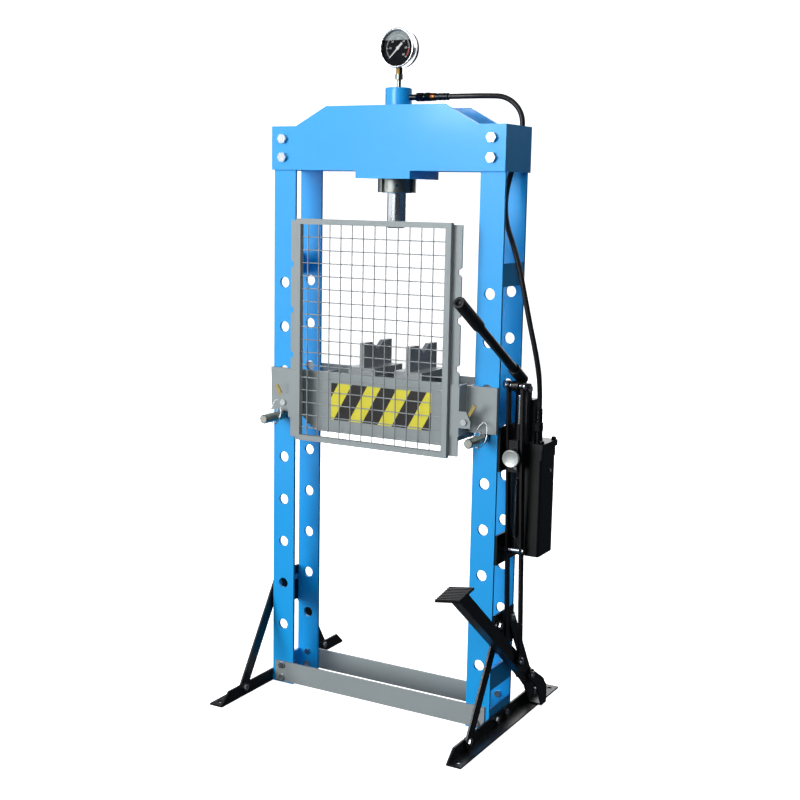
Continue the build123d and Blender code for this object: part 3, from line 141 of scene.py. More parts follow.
paintLooks = {
    "blueEnamel": {"light": "#18AAF6", "dark": "#12A2F0", "roughness": 0.4, "spread": 0.05, "coat": 0.35,
                   "patchMm": 140, "speckMm": 9, "peelMm": 2.4, "peel": 0.10},
    "greyEnamel": {"light": "#9CA5A7", "dark": "#919A9C", "roughness": 0.46, "spread": 0.06, "coat": 0.0,
                   "patchMm": 120, "speckMm": 8, "peelMm": 2.2, "peel": 0.10},
    "blackEnamel": {"light": "#0F1012", "dark": "#070809", "roughness": 0.36, "spread": 0.08, "coat": 0.0,
                    "patchMm": 60, "speckMm": 6, "peelMm": 2.0, "peel": 0.14},
    "redPaint": {"light": "#B24A3C", "dark": "#98392C", "roughness": 0.5, "spread": 0.03, "coat": 0.0,
                 "patchMm": 20, "speckMm": 3, "peelMm": 1.0, "peel": 0.02},
    "whitePaint": {"light": "#F2F2EE", "dark": "#E6E6E2", "roughness": 0.5, "spread": 0.03, "coat": 0.0,
                   "patchMm": 20, "speckMm": 3, "peelMm": 1.0, "peel": 0.02},
}
platedLooks = {
    "brightZinc": {"light": "#DDE2E6", "dark": "#B9C0C6", "roughness": 0.3, "spread": 0.08,
                   "blotchMm": 6, "grainMm": 1.2, "grainStretch": (1, 1, 1), "groove": 0.05},
    "turnedSteel": {"light": "#9DA39F", "dark": "#7C837F", "roughness": 0.34, "spread": 0.1,
                    "blotchMm": 25, "grainMm": 0.9, "grainStretch": (0.04, 0.04, 1), "groove": 0.12},
    "turnedPin": {"light": "#C9CEC6", "dark": "#A6ADA3", "roughness": 0.36, "spread": 0.1,
                  "blotchMm": 25, "grainMm": 0.9, "grainStretch": (0.04, 1, 0.04), "groove": 0.12},
    "milledSteel": {"light": "#9CA1A4", "dark": "#868B8E", "metallic": 0.35, "roughness": 0.46, "spread": 0.1,
                    "blotchMm": 30, "grainMm": 1.0, "grainStretch": (0.05, 1, 0.3), "groove": 0.15},
    "hardChrome": {"light": "#D5D9DC", "dark": "#C4C9CD", "roughness": 0.24, "spread": 0.02,
                   "blotchMm": 40, "grainMm": 4.0, "grainStretch": (0.05, 0.05, 1), "groove": 0.004},
    "polishedBezel": {"light": "#F4F5F6", "dark": "#E6E8EA", "roughness": 0.26, "spread": 0.03,
                      "blotchMm": 30, "grainMm": 0.8, "grainStretch": (1, 0.05, 1), "groove": 0.02},
    "drawnWire": {"light": "#A6ABAD", "dark": "#8C9294", "metallic": 0.4, "roughness": 0.5, "spread": 0.08,
                  "blotchMm": 12, "grainMm": 1.5, "grainStretch": (1, 1, 1), "groove": 0.05},
    "brass": {"light": "#7C683C", "dark": "#453619", "roughness": 0.32, "spread": 0.08,
              "blotchMm": 8, "grainMm": 1.0, "grainStretch": (1, 1, 0.1), "groove": 0.06},
    "yellowZinc": {"light": "#CDB978", "dark": "#A38D4C", "roughness": 0.36, "spread": 0.08,
                   "blotchMm": 7, "grainMm": 1.0, "grainStretch": (1, 1, 1), "groove": 0.05},
    "blackOxide": {"light": "#4C5050", "dark": "#2C2F30", "roughness": 0.3, "spread": 0.08,
                   "blotchMm": 7, "grainMm": 1.0, "grainStretch": (1, 1, 1), "groove": 0.05},
    "springWire": {"light": "#6A6F72", "dark": "#4E5356", "roughness": 0.38, "spread": 0.08,
                   "blotchMm": 9, "grainMm": 1.0, "grainStretch": (1, 1, 1), "groove": 0.05},
    # a dark can; its navy tint is painted shade, the cool colour its shaded side takes
    "darkCanNavyShade": {"light": "#2C3550", "dark": "#1B2136", "metallic": 0.3, "roughness": 0.5, "spread": 0.06,
                 "blotchMm": 20, "grainMm": 1.0, "grainStretch": (1, 1, 1), "groove": 0.04},
    "satinNickel": {"light": "#D6DCDA", "dark": "#C3CAC8", "metallic": 0.45, "roughness": 0.36, "spread": 0.06,
                    "blotchMm": 14, "grainMm": 1.0, "grainStretch": (1, 1, 1), "groove": 0.04},
    "copper": {"light": "#B0622E", "dark": "#86481F", "roughness": 0.35, "spread": 0.06,
               "blotchMm": 6, "grainMm": 1.0, "grainStretch": (1, 1, 1), "groove": 0.05},
}
rubberLooks = {
    "hoseRubber": {"light": "#1E1F20", "dark": "#131415", "roughness": 0.42, "grainMm": 3.0, "grain": 0.2},
    "gripRubber": {"light": "#1A1B1C", "dark": "#111213", "roughness": 0.55, "grainMm": 1.6, "grain": 0.3},
}
finish = {name: sprayedPaint(name, look) for name, look in paintLooks.items()}
finish.update({name: platedSteel(name, look) for name, look in platedLooks.items()})
finish.update({name: mouldedRubber(name, look) for name, look in rubberLooks.items()})

# the paler greys above the oil line are a painted reflection, the sheen of the gap above the oil
dial = {"centre": 1812.2 * mm, "face": -9 * mm, "print": 0.15 * mm, "sweep": 270, "start": 225,
        "tickOuter": 35 * mm, "oilLine": 21 * mm, "oilEdge": 0.6 * mm, "rippleMm": 7,
        "paintedAirSheen": ("#7E898C", "#BCC6C9"), "card": ("#0B0D10", "#1A1E22")}


def printedDial(name):  # black printed card under oil; above the oil line the card is painted paler grey, a painted reflection standing in for the sheen of the gap above the oil
    made, tree, shader, place = startMaterial(name)
    oilTop = dial["centre"] + dial["oilLine"]
    height = addNode(tree, "ShaderNodeSeparateXYZ", {"Vector": place}).outputs["Z"]
    ripple = addNoise(tree, place, dial["rippleMm"], 3.0)
    # the mask between the dark card and the painted reflection above the oil line
    level = addNode(tree, "ShaderNodeMapRange", {
        "Value": height, "From Min": oilTop - dial["oilEdge"], "From Max": oilTop + dial["oilEdge"]})
    card = mixColours(tree, ripple, *dial["card"])
    # painted reflection: the paler grey above the oil line
    paintedAirSheen = mixColours(tree, ripple, *dial["paintedAirSheen"])
    setSockets(tree, shader, {
        "Base Color": mixColours(tree, level.outputs["Result"], card, paintedAirSheen), "Roughness": 0.7,
        "Specular IOR Level": 0.08})
    return made


def clearGlass(name):  # thin float glass: see-through, with a plain reflection
    made, tree, shader, place = startMaterial(name)
    smear = addNoise(tree, place, 30, 2.0)
    haze = addNode(tree, "ShaderNodeMapRange", {"Value": smear, "To Min": 0.02, "To Max": 0.08})
    setSockets(tree, shader, {
        "Base Color": hexLinear("#0C0E0F"), "Roughness": haze.outputs["Result"], "IOR": 1.52, "Alpha": 0.06})
    return made


hazard = {"half": 157 * mm, "shift": 5 * mm, "top": 909 * mm, "bottom": 806 * mm, "face": -82 * mm,
          "proud": 0.35 * mm, "pitch": 92.4 * mm, "share": 0.47, "lean": 0.56, "first": -129 * mm,
          "columns": 33, "rows": 13, "fadeMm": 35, "yellow": ("#E2D93A", "#EFE64F"),
          "black": ("#171516", "#262324")}


def hazardFilm(name):  # printed vinyl: yellow bands leaning over black
    made, tree, shader, place = startMaterial(name)
    split = addNode(tree, "ShaderNodeSeparateXYZ", {"Vector": place})
    drop = addMath(tree, "SUBTRACT", split.outputs["Z"], hazard["top"])
    lean = addMath(tree, "MULTIPLY", drop, hazard["lean"])
    along = addMath(tree, "SUBTRACT", split.outputs["X"], lean)
    shifted = addMath(tree, "SUBTRACT", along, hazard["first"])
    turns = addMath(tree, "DIVIDE", shifted, hazard["pitch"])
    part = addMath(tree, "FRACT", turns)
    band = addMath(tree, "LESS_THAN", part, hazard["share"])
    fade = addNoise(tree, place, hazard["fadeMm"], 4.0)
    yellow = mixColours(tree, fade, *hazard["yellow"])
    black = mixColours(tree, fade, *hazard["black"])
    setSockets(tree, shader, {
        "Base Color": mixColours(tree, band, black, yellow), "Roughness": 0.45, "IOR": 1.5})
    return made


for maker in (printedDial, clearGlass, hazardFilm):
    finish[maker.__name__] = maker(maker.__name__)

nodeFinish = {  # which finish each CAD node carries
    "blueEnamel": ["head_plate_front", "head_plate_rear", "head_end_plates", "seat_plate", "cylinder",
                   "tie_plates", "post_front_left", "post_front_right", "post_rear_left", "post_rear_right"],
    "greyEnamel": ["bed_plate_front", "bed_plate_rear", "bed_spacers", "guard_frame", "guard_guides",
                   "guard_sleeves", "base_rail_front", "base_rail_rear"],
    "blackEnamel": ["foot_left", "foot_right", "braces", "tank", "tank_lid", "pump_body", "pump_brackets",
                    "pedal_bracket", "pedal_lever", "pedal_tread", "rocker", "lever_tube", "link_bars"],
    "brightZinc": ["head_bolts", "frame_bolts", "latch_bolts", "link_axle", "link_spreader",
                   "pedal_link_bolt", "pivot_pins", "return_spring"],
    "turnedSteel": ["ring_nut", "gland", "gauge_coupling"],
    "blackOxide": ["hose_fitting_cap", "hose_fitting_pump"],
    "turnedPin": ["bed_pin_left", "bed_pin_right"],
    "milledSteel": ["v_blocks"],
    "drawnWire": ["guard_mesh"],
    "hardChrome": ["ram", "plunger", "release_knob"],
    "polishedBezel": ["gauge_case"],
    "brass": ["gauge_stem"],
    "yellowZinc": ["latch_left", "latch_right"],
    "printedDial": ["gauge_dial"],
    "whitePaint": ["gauge_pointer"],
    "clearGlass": ["gauge_glass"],
    "hoseRubber": ["hose"],
    "gripRubber": ["lever_grip"],
}
for finishName, members in nodeFinish.items():
    for member in members:
        nodes[member].data.materials.clear()
        nodes[member].data.materials.append(finish[finishName])
print("materials made,", len(finish))


def linkObject(name, data):
    made = bpy.data.objects.new(name, data)
    bpy.context.scene.collection.objects.link(made)
    return made


def gridFaces(rows, columns, wrapRows, wrapColumns):  # quads between neighbouring points of a grid
    row, column = np.meshgrid(np.arange(rows if wrapRows else rows - 1),
                              np.arange(columns if wrapColumns else columns - 1), indexing="ij")
    nextRow = (row + 1) % rows
    nextColumn = (column + 1) % columns
    corners = [row * columns + column, nextRow * columns + column,
               nextRow * columns + nextColumn, row * columns + nextColumn]
    return np.stack(corners, -1).reshape(-1, 4)


def makePiece(name, sheets, material, body, wrapRows=False, wrapColumns=False, smooth=True):
    sheets = np.asarray(sheets, float)  # copies x rows x columns x 3
    sheets = sheets.reshape(-1, *sheets.shape[-3:])
    copies, rows, columns = sheets.shape[:3]
    faces = gridFaces(rows, columns, wrapRows, wrapColumns)
    faces = (faces[None] + (np.arange(copies) * rows * columns)[:, None, None]).reshape(-1, 4)
    mesh = bpy.data.meshes.new(name)
    mesh.vertices.add(copies * rows * columns)
    mesh.vertices.foreach_set("co", sheets.astype(np.float32).ravel())
    mesh.loops.add(faces.size)
    mesh.loops.foreach_set("vertex_index", faces.astype(np.int32).ravel())
    mesh.polygons.add(len(faces))
    mesh.polygons.foreach_set("loop_start", (np.arange(len(faces)) * 4).astype(np.int32))
    mesh.update(calc_edges=True)
    worked = bmesh.new()
    worked.from_mesh(mesh)
    bmesh.ops.remove_doubles(worked, verts=worked.verts, dist=1e-6)  # closes seams and poles
    bmesh.ops.recalc_face_normals(worked, faces=worked.faces)
    worked.to_mesh(mesh)
    worked.free()
    mesh.validate()
    mesh.materials.append(finish[material])
    mesh.polygons.foreach_set("use_smooth", np.full(len(mesh.polygons), smooth))
    piece = linkObject(name, mesh)
    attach(piece, body)
    return piece


def sideways(axis):  # the axis as a unit vector, and two more square to it
    axis = np.asarray(axis, float) / np.linalg.norm(axis)
    helper = np.array([1.0, 0, 0]) if abs(axis[0]) < 0.9 else np.array([0, 1.0, 0])
    first = np.cross(axis, helper)
    first /= np.linalg.norm(first)
    return axis, first, np.cross(axis, first)


def lathe(profile, origin, axis, steps=48, flutes=0, fluteDepth=0):
    # origin + height along the axis + radius times (cos a, sin a) square to it; flutes ripple the radius
    profile = np.asarray(profile, float)
    axis, first, second = sideways(axis)
    angle = np.linspace(0, 2 * np.pi, steps, endpoint=False)
    ripple = 1 + fluteDepth * np.cos(flutes * angle)
    ring = np.cos(angle)[:, None] * first + np.sin(angle)[:, None] * second
    radius = profile[:, 0][:, None] * ripple[None]
    return np.asarray(origin, float) + profile[:, 1][:, None, None] * axis + radius[..., None] * ring[None]


def tube(path, radius, sides=12, closed=False):
    # at each point of the path, a circle of the given radius square to the path's direction
    path = np.asarray(path, float)
    if closed:
        ahead = np.roll(path, -1, 0) - np.roll(path, 1, 0)
    else:
        ahead = np.gradient(path, axis=0)
    ahead /= np.linalg.norm(ahead, axis=1, keepdims=True)
    helper = np.eye(3)[np.argmin(np.ptp(path, axis=0))]
    first = np.cross(ahead, helper)
    first /= np.linalg.norm(first, axis=1, keepdims=True)
    second = np.cross(ahead, first)
    angle = np.linspace(0, 2 * np.pi, sides, endpoint=False)
    radius = np.broadcast_to(np.asarray(radius, float), (len(path),))
    ring = np.cos(angle)[None, :, None] * first[:, None] + np.sin(angle)[None, :, None] * second[:, None]
    return path[:, None] + radius[:, None, None] * ring


def closedRod(path, radius, sides=10):  # a tube with a flat end drawn to the path's point at each end
    path = np.asarray(path, float)
    start = np.broadcast_to(path[0], (1, sides, 3))
    end = np.broadcast_to(path[-1], (1, sides, 3))
    return np.concatenate([start, tube(path, radius, sides), end])


hose = {"diameter": 14 * mm, "length": 1.0, "body": "frame"}
hoseRoute = [  # the same points as the CAD hose, in millimetres
    (150, 0, 1684), (200, 0, 1684), (250, 14, 1685), (305, 35, 1684), (347, 43, 1640), (341, 45, 1572),
    (332, 36, 1525), (320, 22, 1470), (320, 3, 1412), (334, -14, 1356), (360, -21, 1302),
    (379, -20, 1240), (394, -14, 1168), (407, -5, 1096), (420, 6, 1028), (428, 17, 964), (428, 25, 912),
    (428, 25, 878),
]
hoseCurve = bpy.data.curves.new("pressureHose", "CURVE")
hoseCurve.dimensions = "3D"
hoseCurve.bevel_depth = hose["diameter"] / 2
hoseCurve.bevel_resolution = 6
hoseCurve.resolution_u = 12
hoseCurve.use_fill_caps = True
hoseLine = hoseCurve.splines.new("NURBS")
hoseLine.points.add(len(hoseRoute) - 1)
for point, place in zip(hoseLine.points, hoseRoute):
    point.co = (*(np.array(place) * mm), 1)
hoseLine.order_u = 3
hoseLine.use_endpoint_u = True
hoseCurve.materials.append(finish["hoseRubber"])
hosePiece = linkObject("pressureHose", hoseCurve)
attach(hosePiece, hose["body"])
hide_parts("hose")
print("hose laid")

# hazard film: a flat grid just proud of the bed's front plate, its ends turned back into the plate
across, up = np.meshgrid(np.linspace(-hazard["half"], hazard["half"], hazard["columns"]) + hazard["shift"],
                         np.linspace(hazard["bottom"], hazard["top"], hazard["rows"]), indexing="ij")
film = np.stack([across, np.full_like(across, hazard["face"] - hazard["proud"]), up], -1)
rim = np.stack([across, np.full_like(across, hazard["face"] + hazard["proud"]), up], -1)
film = np.concatenate([rim[:1], film, rim[-1:]])
makePiece("hazardFilm", film, "hazardFilm", "bed", smooth=False)

gauge = {"centre": (0, 0, dial["centre"]), "steps": 96, "radius": 50, "recess": 46, "seat": 47, "back": 22,
         "backRound": 6, "canFront": -12, "floor": -7, "bezel": 52, "bezelInner": 49.5, "bezelBack": 4,
         "bezelSeat": -9, "front": -19, "bevelIn": 0.6, "bevelDeep": 1}


def gaugeCanProfile():  # half section: back with a rounded edge, side wall, and the floor behind the dial
    turn = np.linspace(0, np.pi / 2, 9)
    bend = gauge["backRound"]
    backEdge = np.stack([gauge["radius"] - bend + bend * np.sin(turn),
                         gauge["back"] - bend + bend * np.cos(turn)], -1)
    return np.concatenate([
        [[0, gauge["back"]]], backEdge,
        [[gauge["radius"], gauge["canFront"]], [gauge["seat"], gauge["canFront"]],
         [gauge["seat"], gauge["floor"]], [0, gauge["floor"]]]]) * mm


def gaugeBezelProfile():  # half section of the ring: bevelled back, side, rolled front lip, bore
    turn = np.linspace(0, np.pi, 17)
    inner, outer, back = gauge["bezelInner"], gauge["bezel"], gauge["bezelBack"]
    middle, lip = (outer + gauge["recess"]) / 2, (outer - gauge["recess"]) / 2
    rolled = np.stack([middle + lip * np.cos(turn), gauge["front"] + lip - lip * np.sin(turn)], -1)
    return np.concatenate([
        [[inner, back], [outer - gauge["bevelIn"], back], [outer, back - gauge["bevelDeep"]]], rolled,
        [[gauge["recess"], gauge["bezelSeat"]], [inner, gauge["bezelSeat"]], [inner, back]]]) * mm


# the can's finish is dark, with a navy tint of painted shade
gaugeCan = makePiece("gaugeCan", lathe(gaugeCanProfile(), gauge["centre"], (0, 1, 0), gauge["steps"]),
                     "darkCanNavyShade", "frame", wrapColumns=True)
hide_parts("gauge_case")
makePiece("gaugeBezel", lathe(gaugeBezelProfile(), gauge["centre"], (0, 1, 0), gauge["steps"]),
          "polishedBezel", "frame", wrapColumns=True)


def dialPoint(angle, radius):  # a place on the dial's front, angle from +X towards +Z in degrees
    turn = np.radians(angle)
    return np.stack([radius * np.cos(turn), np.full_like(turn, dial["face"] - dial["print"]),
                     dial["centre"] + radius * np.sin(turn)], -1)


marks = {"steps": 60, "every": (10, 5), "inner": (30, 31.5, 32.5), "half": (1.0, 0.6, 0.35)}  # longest first


def dialMarks():  # every mark is a quad between two radii; the longer ones are wider, in degrees
    step = np.arange(marks["steps"] + 1)
    angle = dial["start"] - dial["sweep"] * step / marks["steps"]
    kinds = [step % count == 0 for count in marks["every"]]
    half = np.select(kinds, marks["half"][:2], marks["half"][2])
    inner = np.select(kinds, marks["inner"][:2], marks["inner"][2]) * mm
    outer = np.full_like(inner, dial["tickOuter"])
    corners = [[dialPoint(angle - half, inner), dialPoint(angle - half, outer)],
               [dialPoint(angle + half, inner), dialPoint(angle + half, outer)]]
    return np.moveaxis(np.array(corners), 2, 0)


def dialBand(start, end, inner, outer, count):  # a band of the dial between two angles and two radii
    angle = np.linspace(start, end, count)
    return np.stack([dialPoint(angle, inner), dialPoint(angle, outer)])


makePiece("dialMarks", dialMarks(), "whitePaint", "frame", smooth=False)

scaleLine = {"width": 0.7 * mm, "points": 121}  # the line the marks stand on
scaleArc = dialBand(dial["start"], dial["start"] - dial["sweep"], dial["tickOuter"] - scaleLine["width"],
                    dial["tickOuter"], scaleLine["points"])
makePiece("scaleArc", scaleArc, "whitePaint", "frame", smooth=False)

redMark = {"from": -4, "to": -40, "inner": 31.5 * mm, "points": 25, "lift": 0.1 * mm}
redArc = dialBand(redMark["from"], redMark["to"], redMark["inner"], dial["tickOuter"], redMark["points"])
redArc[..., 1] -= redMark["lift"]
makePiece("redMark", redArc, "redPaint", "frame", smooth=False)

numerals = {"size": 7.2 * mm, "radius": 24 * mm, "step": 10, "count": 7}
for index in range(numerals["count"]):
    words = bpy.data.curves.new("dialNumeral", "FONT")
    words.body = str(index * numerals["step"])
    words.size = numerals["size"]
    words.align_x = "CENTER"
    words.align_y = "CENTER"
    holder = linkObject("numeralHolder", words)
    flat = bpy.data.meshes.new_from_object(holder.evaluated_get(bpy.context.evaluated_depsgraph_get()))
    bpy.data.objects.remove(holder)
    turned = np.array(dial["start"] - dial["sweep"] * index / (numerals["count"] - 1))
    middle = Vector(dialPoint(turned, numerals["radius"]))
    flat.transform(Matrix.Translation(middle) @ Matrix.Rotation(math.pi / 2, 4, "X"))
    flat.materials.clear()
    flat.materials.append(finish["whitePaint"])
    numeral = linkObject(f"dialNumeral{index * numerals['step']:02d}", flat)
    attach(numeral, "frame")
print("gauge drawn")

spring = {"x": 388 * mm, "y": -16.6 * mm, "top": 690 * mm, "bottom": 532 * mm, "hookTop": 715 * mm,
          "hookBottom": 503.4 * mm, "hookStep": 4 * mm, "hookPoints": 6, "radius": 5.6 * mm,
          "wire": 1.3 * mm, "turns": 58, "turnPoints": 14, "sides": 7}


def springHook(start, end):  # a straight wire on the spring's axis
    rise = np.linspace(start, end, spring["hookPoints"])
    return np.stack([np.full_like(rise, spring["x"]), np.full_like(rise, spring["y"]), rise], -1)


def springPath():  # a helix, with a hook wire at each end
    turn = np.linspace(0, spring["turns"] * 2 * np.pi, spring["turns"] * spring["turnPoints"])
    coil = np.stack([spring["x"] + spring["radius"] * np.cos(turn),
                     spring["y"] + spring["radius"] * np.sin(turn),
                     np.linspace(spring["bottom"], spring["top"], len(turn))], -1)
    lower = springHook(spring["hookBottom"], spring["bottom"] - spring["hookStep"])
    upper = springHook(spring["top"] + spring["hookStep"], spring["hookTop"])
    return np.concatenate([lower, coil, upper])


coilPiece = makePiece("returnCoil", closedRod(springPath(), spring["wire"], spring["sides"]), "springWire",
                      "frame", wrapColumns=True)
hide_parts("return_spring")

clip = {"y": -106 * mm, "rise": 13 * mm, "half": 17 * mm, "tall": 32 * mm, "wire": 1.3 * mm, "lean": 0.38,
        "narrowing": 0.22, "splay": 0.1, "out": 4 * mm, "points": 72, "sides": 10, "leg": 2.6 * mm,
        "legLow": -24 * mm, "legHigh": 22 * mm, "legPoints": 10, "legSlope": (0.08, 0.1, 1)}


def clipMiddle(node):
    low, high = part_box(node)
    return np.array([(low.x + high.x) / 2, clip["y"], (low.z + high.z) / 2])


def clipLoop(middle, side):  # an egg-shaped wire loop leaning back: wider low down, narrow at the top
    turn = np.linspace(0, 2 * np.pi, clip["points"], endpoint=False)
    rise = clip["tall"] * np.sin(turn)
    half = clip["half"] * (1 - clip["narrowing"] * np.sin(turn))
    outward = half * np.cos(turn) + side * (clip["splay"] * rise + clip["out"])
    return middle + np.stack([outward, clip["lean"] * rise, rise + clip["rise"]], -1)


for hand, side in (("Left", -1), ("Right", 1)):
    middle = clipMiddle(f"bed_pin_{hand.lower()}")
    body = f"pin_{hand.lower()}"
    loop = tube(clipLoop(middle, side), clip["wire"], clip["sides"], closed=True)
    makePiece(f"clipLoop{hand}", loop, "brightZinc", body, wrapRows=True, wrapColumns=True)
    leg = np.linspace(clip["legLow"], clip["legHigh"], clip["legPoints"])  # through the pin's cross hole
    legPath = middle + leg[:, None] * np.array(clip["legSlope"])
    makePiece(f"clipLeg{hand}", closedRod(legPath, clip["leg"]), "brightZinc", body, wrapColumns=True)

washer = {"inner": 5.6, "outer": 10.5, "thick": 1.6, "edge": 0.4, "steps": 28}
railBolt = {"x": 318, "z": (17, 55), "face": 75}
braceBolt = {"places": ((208, 23.5), (42, 290)), "face": 363}  # in y and z


def washerRing(place, axis):  # a flat ring with softened edges
    inner, outer, thick, edge = (washer[key] for key in ("inner", "outer", "thick", "edge"))
    profile = np.array([[inner, 0], [outer - edge, 0], [outer, edge], [outer, thick - edge],
                        [outer - edge, thick], [inner, thick], [inner, 0]]) * mm
    return lathe(profile, np.array(place) * mm, axis, washer["steps"])


railWashers = [washerRing((end * railBolt["x"], side * railBolt["face"], z), (0, side, 0))
               for end in (-1, 1) for z in railBolt["z"] for side in (-1, 1)]
braceWashers = [washerRing((side * braceBolt["face"], end * y, z), (side, 0, 0))
                for end in (-1, 1) for y, z in braceBolt["places"] for side in (-1, 1)]
makePiece("railWashers", railWashers + braceWashers, "brightZinc", "frame", wrapColumns=True)
print("small hardware placed")

weld = {"radius": 2.6, "ripple": 0.16, "pitch": 6.0, "points": 120, "taper": 40, "endShare": 0.25, "sides": 8}


def weldBead(x, y, low, high):  # an upright line whose radius swells once every pitch, like overlapping puddles
    share = np.linspace(0, 1, weld["points"])
    puddles = max(int((high - low) / weld["pitch"]), 2)
    swell = 1 + weld["ripple"] * np.abs(np.sin(np.pi * share * puddles))
    ends = np.clip(np.minimum(share, 1 - share) * weld["taper"], weld["endShare"], 1) ** 0.5
    path = np.stack([np.full_like(share, x), np.full_like(share, y), low + share * (high - low)], -1) * mm
    return closedRod(path, weld["radius"] * swell * ends * mm, weld["sides"])


tieWeld = {"x": 345, "y": 62, "left": ((2, 58), (1200, 1256)), "right": ((2, 58), (114, 170), (1200, 1256))}
tieRows = [(-1, row) for row in tieWeld["left"]] + [(1, row) for row in tieWeld["right"]]
tieBeads = [weldBead(side * tieWeld["x"], edge * tieWeld["y"], *row)
            for side, row in tieRows for edge in (-1, 1)]
makePiece("tieWelds", tieBeads, "blueEnamel", "frame", wrapColumns=True)

spacerWeld = {"x": (225, 235), "y": 72, "low": 786, "high": 922}  # both faces of each bed spacer
sleeveWeld = {"x": 266.5, "y": -82, "low": 818, "high": 934}
bedBeads = [weldBead(side * x, edge * spacerWeld["y"], spacerWeld["low"], spacerWeld["high"])
            for side in (-1, 1) for edge in (-1, 1) for x in spacerWeld["x"]]
sleeveBeads = [weldBead(side * sleeveWeld["x"], sleeveWeld["y"], sleeveWeld["low"], sleeveWeld["high"])
               for side in (-1, 1)]
makePiece("bedWelds", bedBeads + sleeveBeads, "greyEnamel", "bed", wrapColumns=True)
print("weld beads laid")

grip = {"foot": (388, 13, 929), "angle": 30.5, "offset": 16, "end": 470, "length": 128, "radius": 15.5,
        "bore": 11.5, "ribs": 22, "rib": 0.55, "collarShare": 0.0625, "capRound": 3.5, "capShare": 0.03,
        "hole": 8, "holeDeep": 7, "points": 241, "steps": 64}


def gripAxis():  # the lever's line from the fulcrum, and a point on it
    turn = math.radians(grip["angle"])
    run = np.array([0, -math.cos(turn), math.sin(turn)])
    rise = np.array([0, math.sin(turn), math.cos(turn)])
    return run, (np.array(grip["foot"]) + rise * grip["offset"]) * mm


def gripProfile():  # ribbed sleeve with a plain collar at each end and a hole in the cap
    share = np.linspace(0, 1, grip["points"])
    height = grip["end"] - grip["length"] * (1 - share)
    inside = np.clip(np.minimum(share, 1 - share) / grip["collarShare"] - 1, 0, 1)
    ribs = -grip["rib"] * inside * (0.5 - 0.5 * np.cos(2 * np.pi * grip["ribs"] * share))
    capped = np.clip((share - 1 + grip["capShare"]) / grip["capShare"], 0, 1)
    rounding = grip["capRound"] * (1 - np.sqrt(1 - capped ** 2))
    outer = np.stack([grip["radius"] + ribs - rounding, height], -1)
    holeFloor = grip["end"] - grip["holeDeep"]
    return np.concatenate([[[grip["bore"], height[0]]], outer,
                           [[grip["hole"], grip["end"]], [grip["hole"], holeFloor], [0, holeFloor]]]) * mm


gripRun, gripFoot = gripAxis()
gripPiece = makePiece("leverSleeve", lathe(gripProfile(), gripFoot, gripRun, grip["steps"]), "gripRubber",
                      "hand_lever", wrapColumns=True)
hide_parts("lever_grip")


def turnedPart(look, place, axis):  # a lathe of the part's own profile: radius and height in millimetres
    return lathe(np.array(look["profile"]) * mm, np.array(place) * mm, axis, look["steps"],
                 look.get("flutes", 0), look.get("fluteDepth", 0))


knob = {"centre": (388, -52, 753), "steps": 192, "flutes": 48, "fluteDepth": 0.014,
        "profile": ((0, -6.7), (6, -6.7), (6, 0), (21.8, 0), (23, 1.2), (23, 9.8), (22, 11), (20.6, 11),
                    (20, 10.4), (0, 10.4))}  # valve stem, then a knurled disc with a slim rim round a flat face
knobPiece = makePiece("knobGrip", turnedPart(knob, knob["centre"], (0, -1, 0)), "satinNickel", "release_knob",
                      wrapColumns=True)
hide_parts("release_knob")

capScrew = {"x": (366, 446), "y": (7, 88), "lid": 788, "steps": 28,
            "profile": ((0, 0), (6.5, 0), (6.5, 7.2), (5.8, 8), (3.2, 8), (3.2, 4), (0, 4))}  # head and socket
lidScrews = [turnedPart(capScrew, (x, y, capScrew["lid"]), (0, 0, 1))
             for y in capScrew["y"] for x in capScrew["x"]]
makePiece("lidScrews", lidScrews, "blackOxide", "frame", wrapColumns=True)

plugScrew = {"valve": (396, -45, 727), "tank": (449, 61, 708), "steps": 28,
             "profile": ((0, 0), (4.6, 0), (4.6, 2.2), (4.0, 2.8), (1.8, 2.8), (1.5, 1.8), (0, 1.8))}
plugs = [turnedPart(plugScrew, plugScrew["valve"], (0, -1, 0)),
         turnedPart(plugScrew, plugScrew["tank"], (1, 0, 0))]
makePiece("plugScrews", plugs, "brightZinc", "frame", wrapColumns=True)

capLine = (0, 0, hoseRoute[0][2])  # where the fittings' axes start: +X at the cap, +Z at the pump
pumpLine = (*hoseRoute[-1][:2], 0)
crimp = {"cap": (112, 150), "pump": (842, 878), "radius": 9.5, "grooves": 3, "depth": 0.7,
         "points": 61, "steps": 40}


def crimpSleeve(low, high, place, axis):  # pressed sleeve: shallow grooves round it
    share = np.linspace(0, 1, crimp["points"])
    wave = np.cos(2 * np.pi * crimp["grooves"] * (share - 0.5 / crimp["grooves"]))
    outer = np.stack([crimp["radius"] - crimp["depth"] * np.clip(wave, 0, 1), low + share * (high - low)], -1)
    profile = np.concatenate([[[0, low]], outer, [[0, high]]]) * mm
    return lathe(profile, np.array(place) * mm, axis, crimp["steps"])


crimpSleeves = [crimpSleeve(*crimp["cap"], capLine, (1, 0, 0)),
                crimpSleeve(*crimp["pump"], pumpLine, (0, 0, 1))]
makePiece("crimpSleeves", crimpSleeves, "blackEnamel", "frame", wrapColumns=True)

fitting = {  # height, half width, 0 round or 1 hexagon
    "cap": ((28, 0, 0), (28, 8, 0), (56, 8, 0), (56, 10, 0), (57.4, 11, 1), (76.6, 11, 1), (78, 10, 0),
            (78, 8.4, 0), (82, 8.4, 0), (82, 10, 0), (83.4, 11, 1), (96.6, 11, 1), (98, 10, 0), (98, 9.5, 0),
            (108, 9.5, 0), (108, 9, 0), (150, 9, 0), (150, 0, 0)),
    "pump": ((788, 0, 0), (788, 11, 0), (816, 11, 0), (818, 9.6, 0), (819.4, 11, 1), (840.6, 11, 1),
             (842, 10, 0), (842, 9, 0), (878, 9, 0), (878, 0, 0)),
    "steps": 96,
}


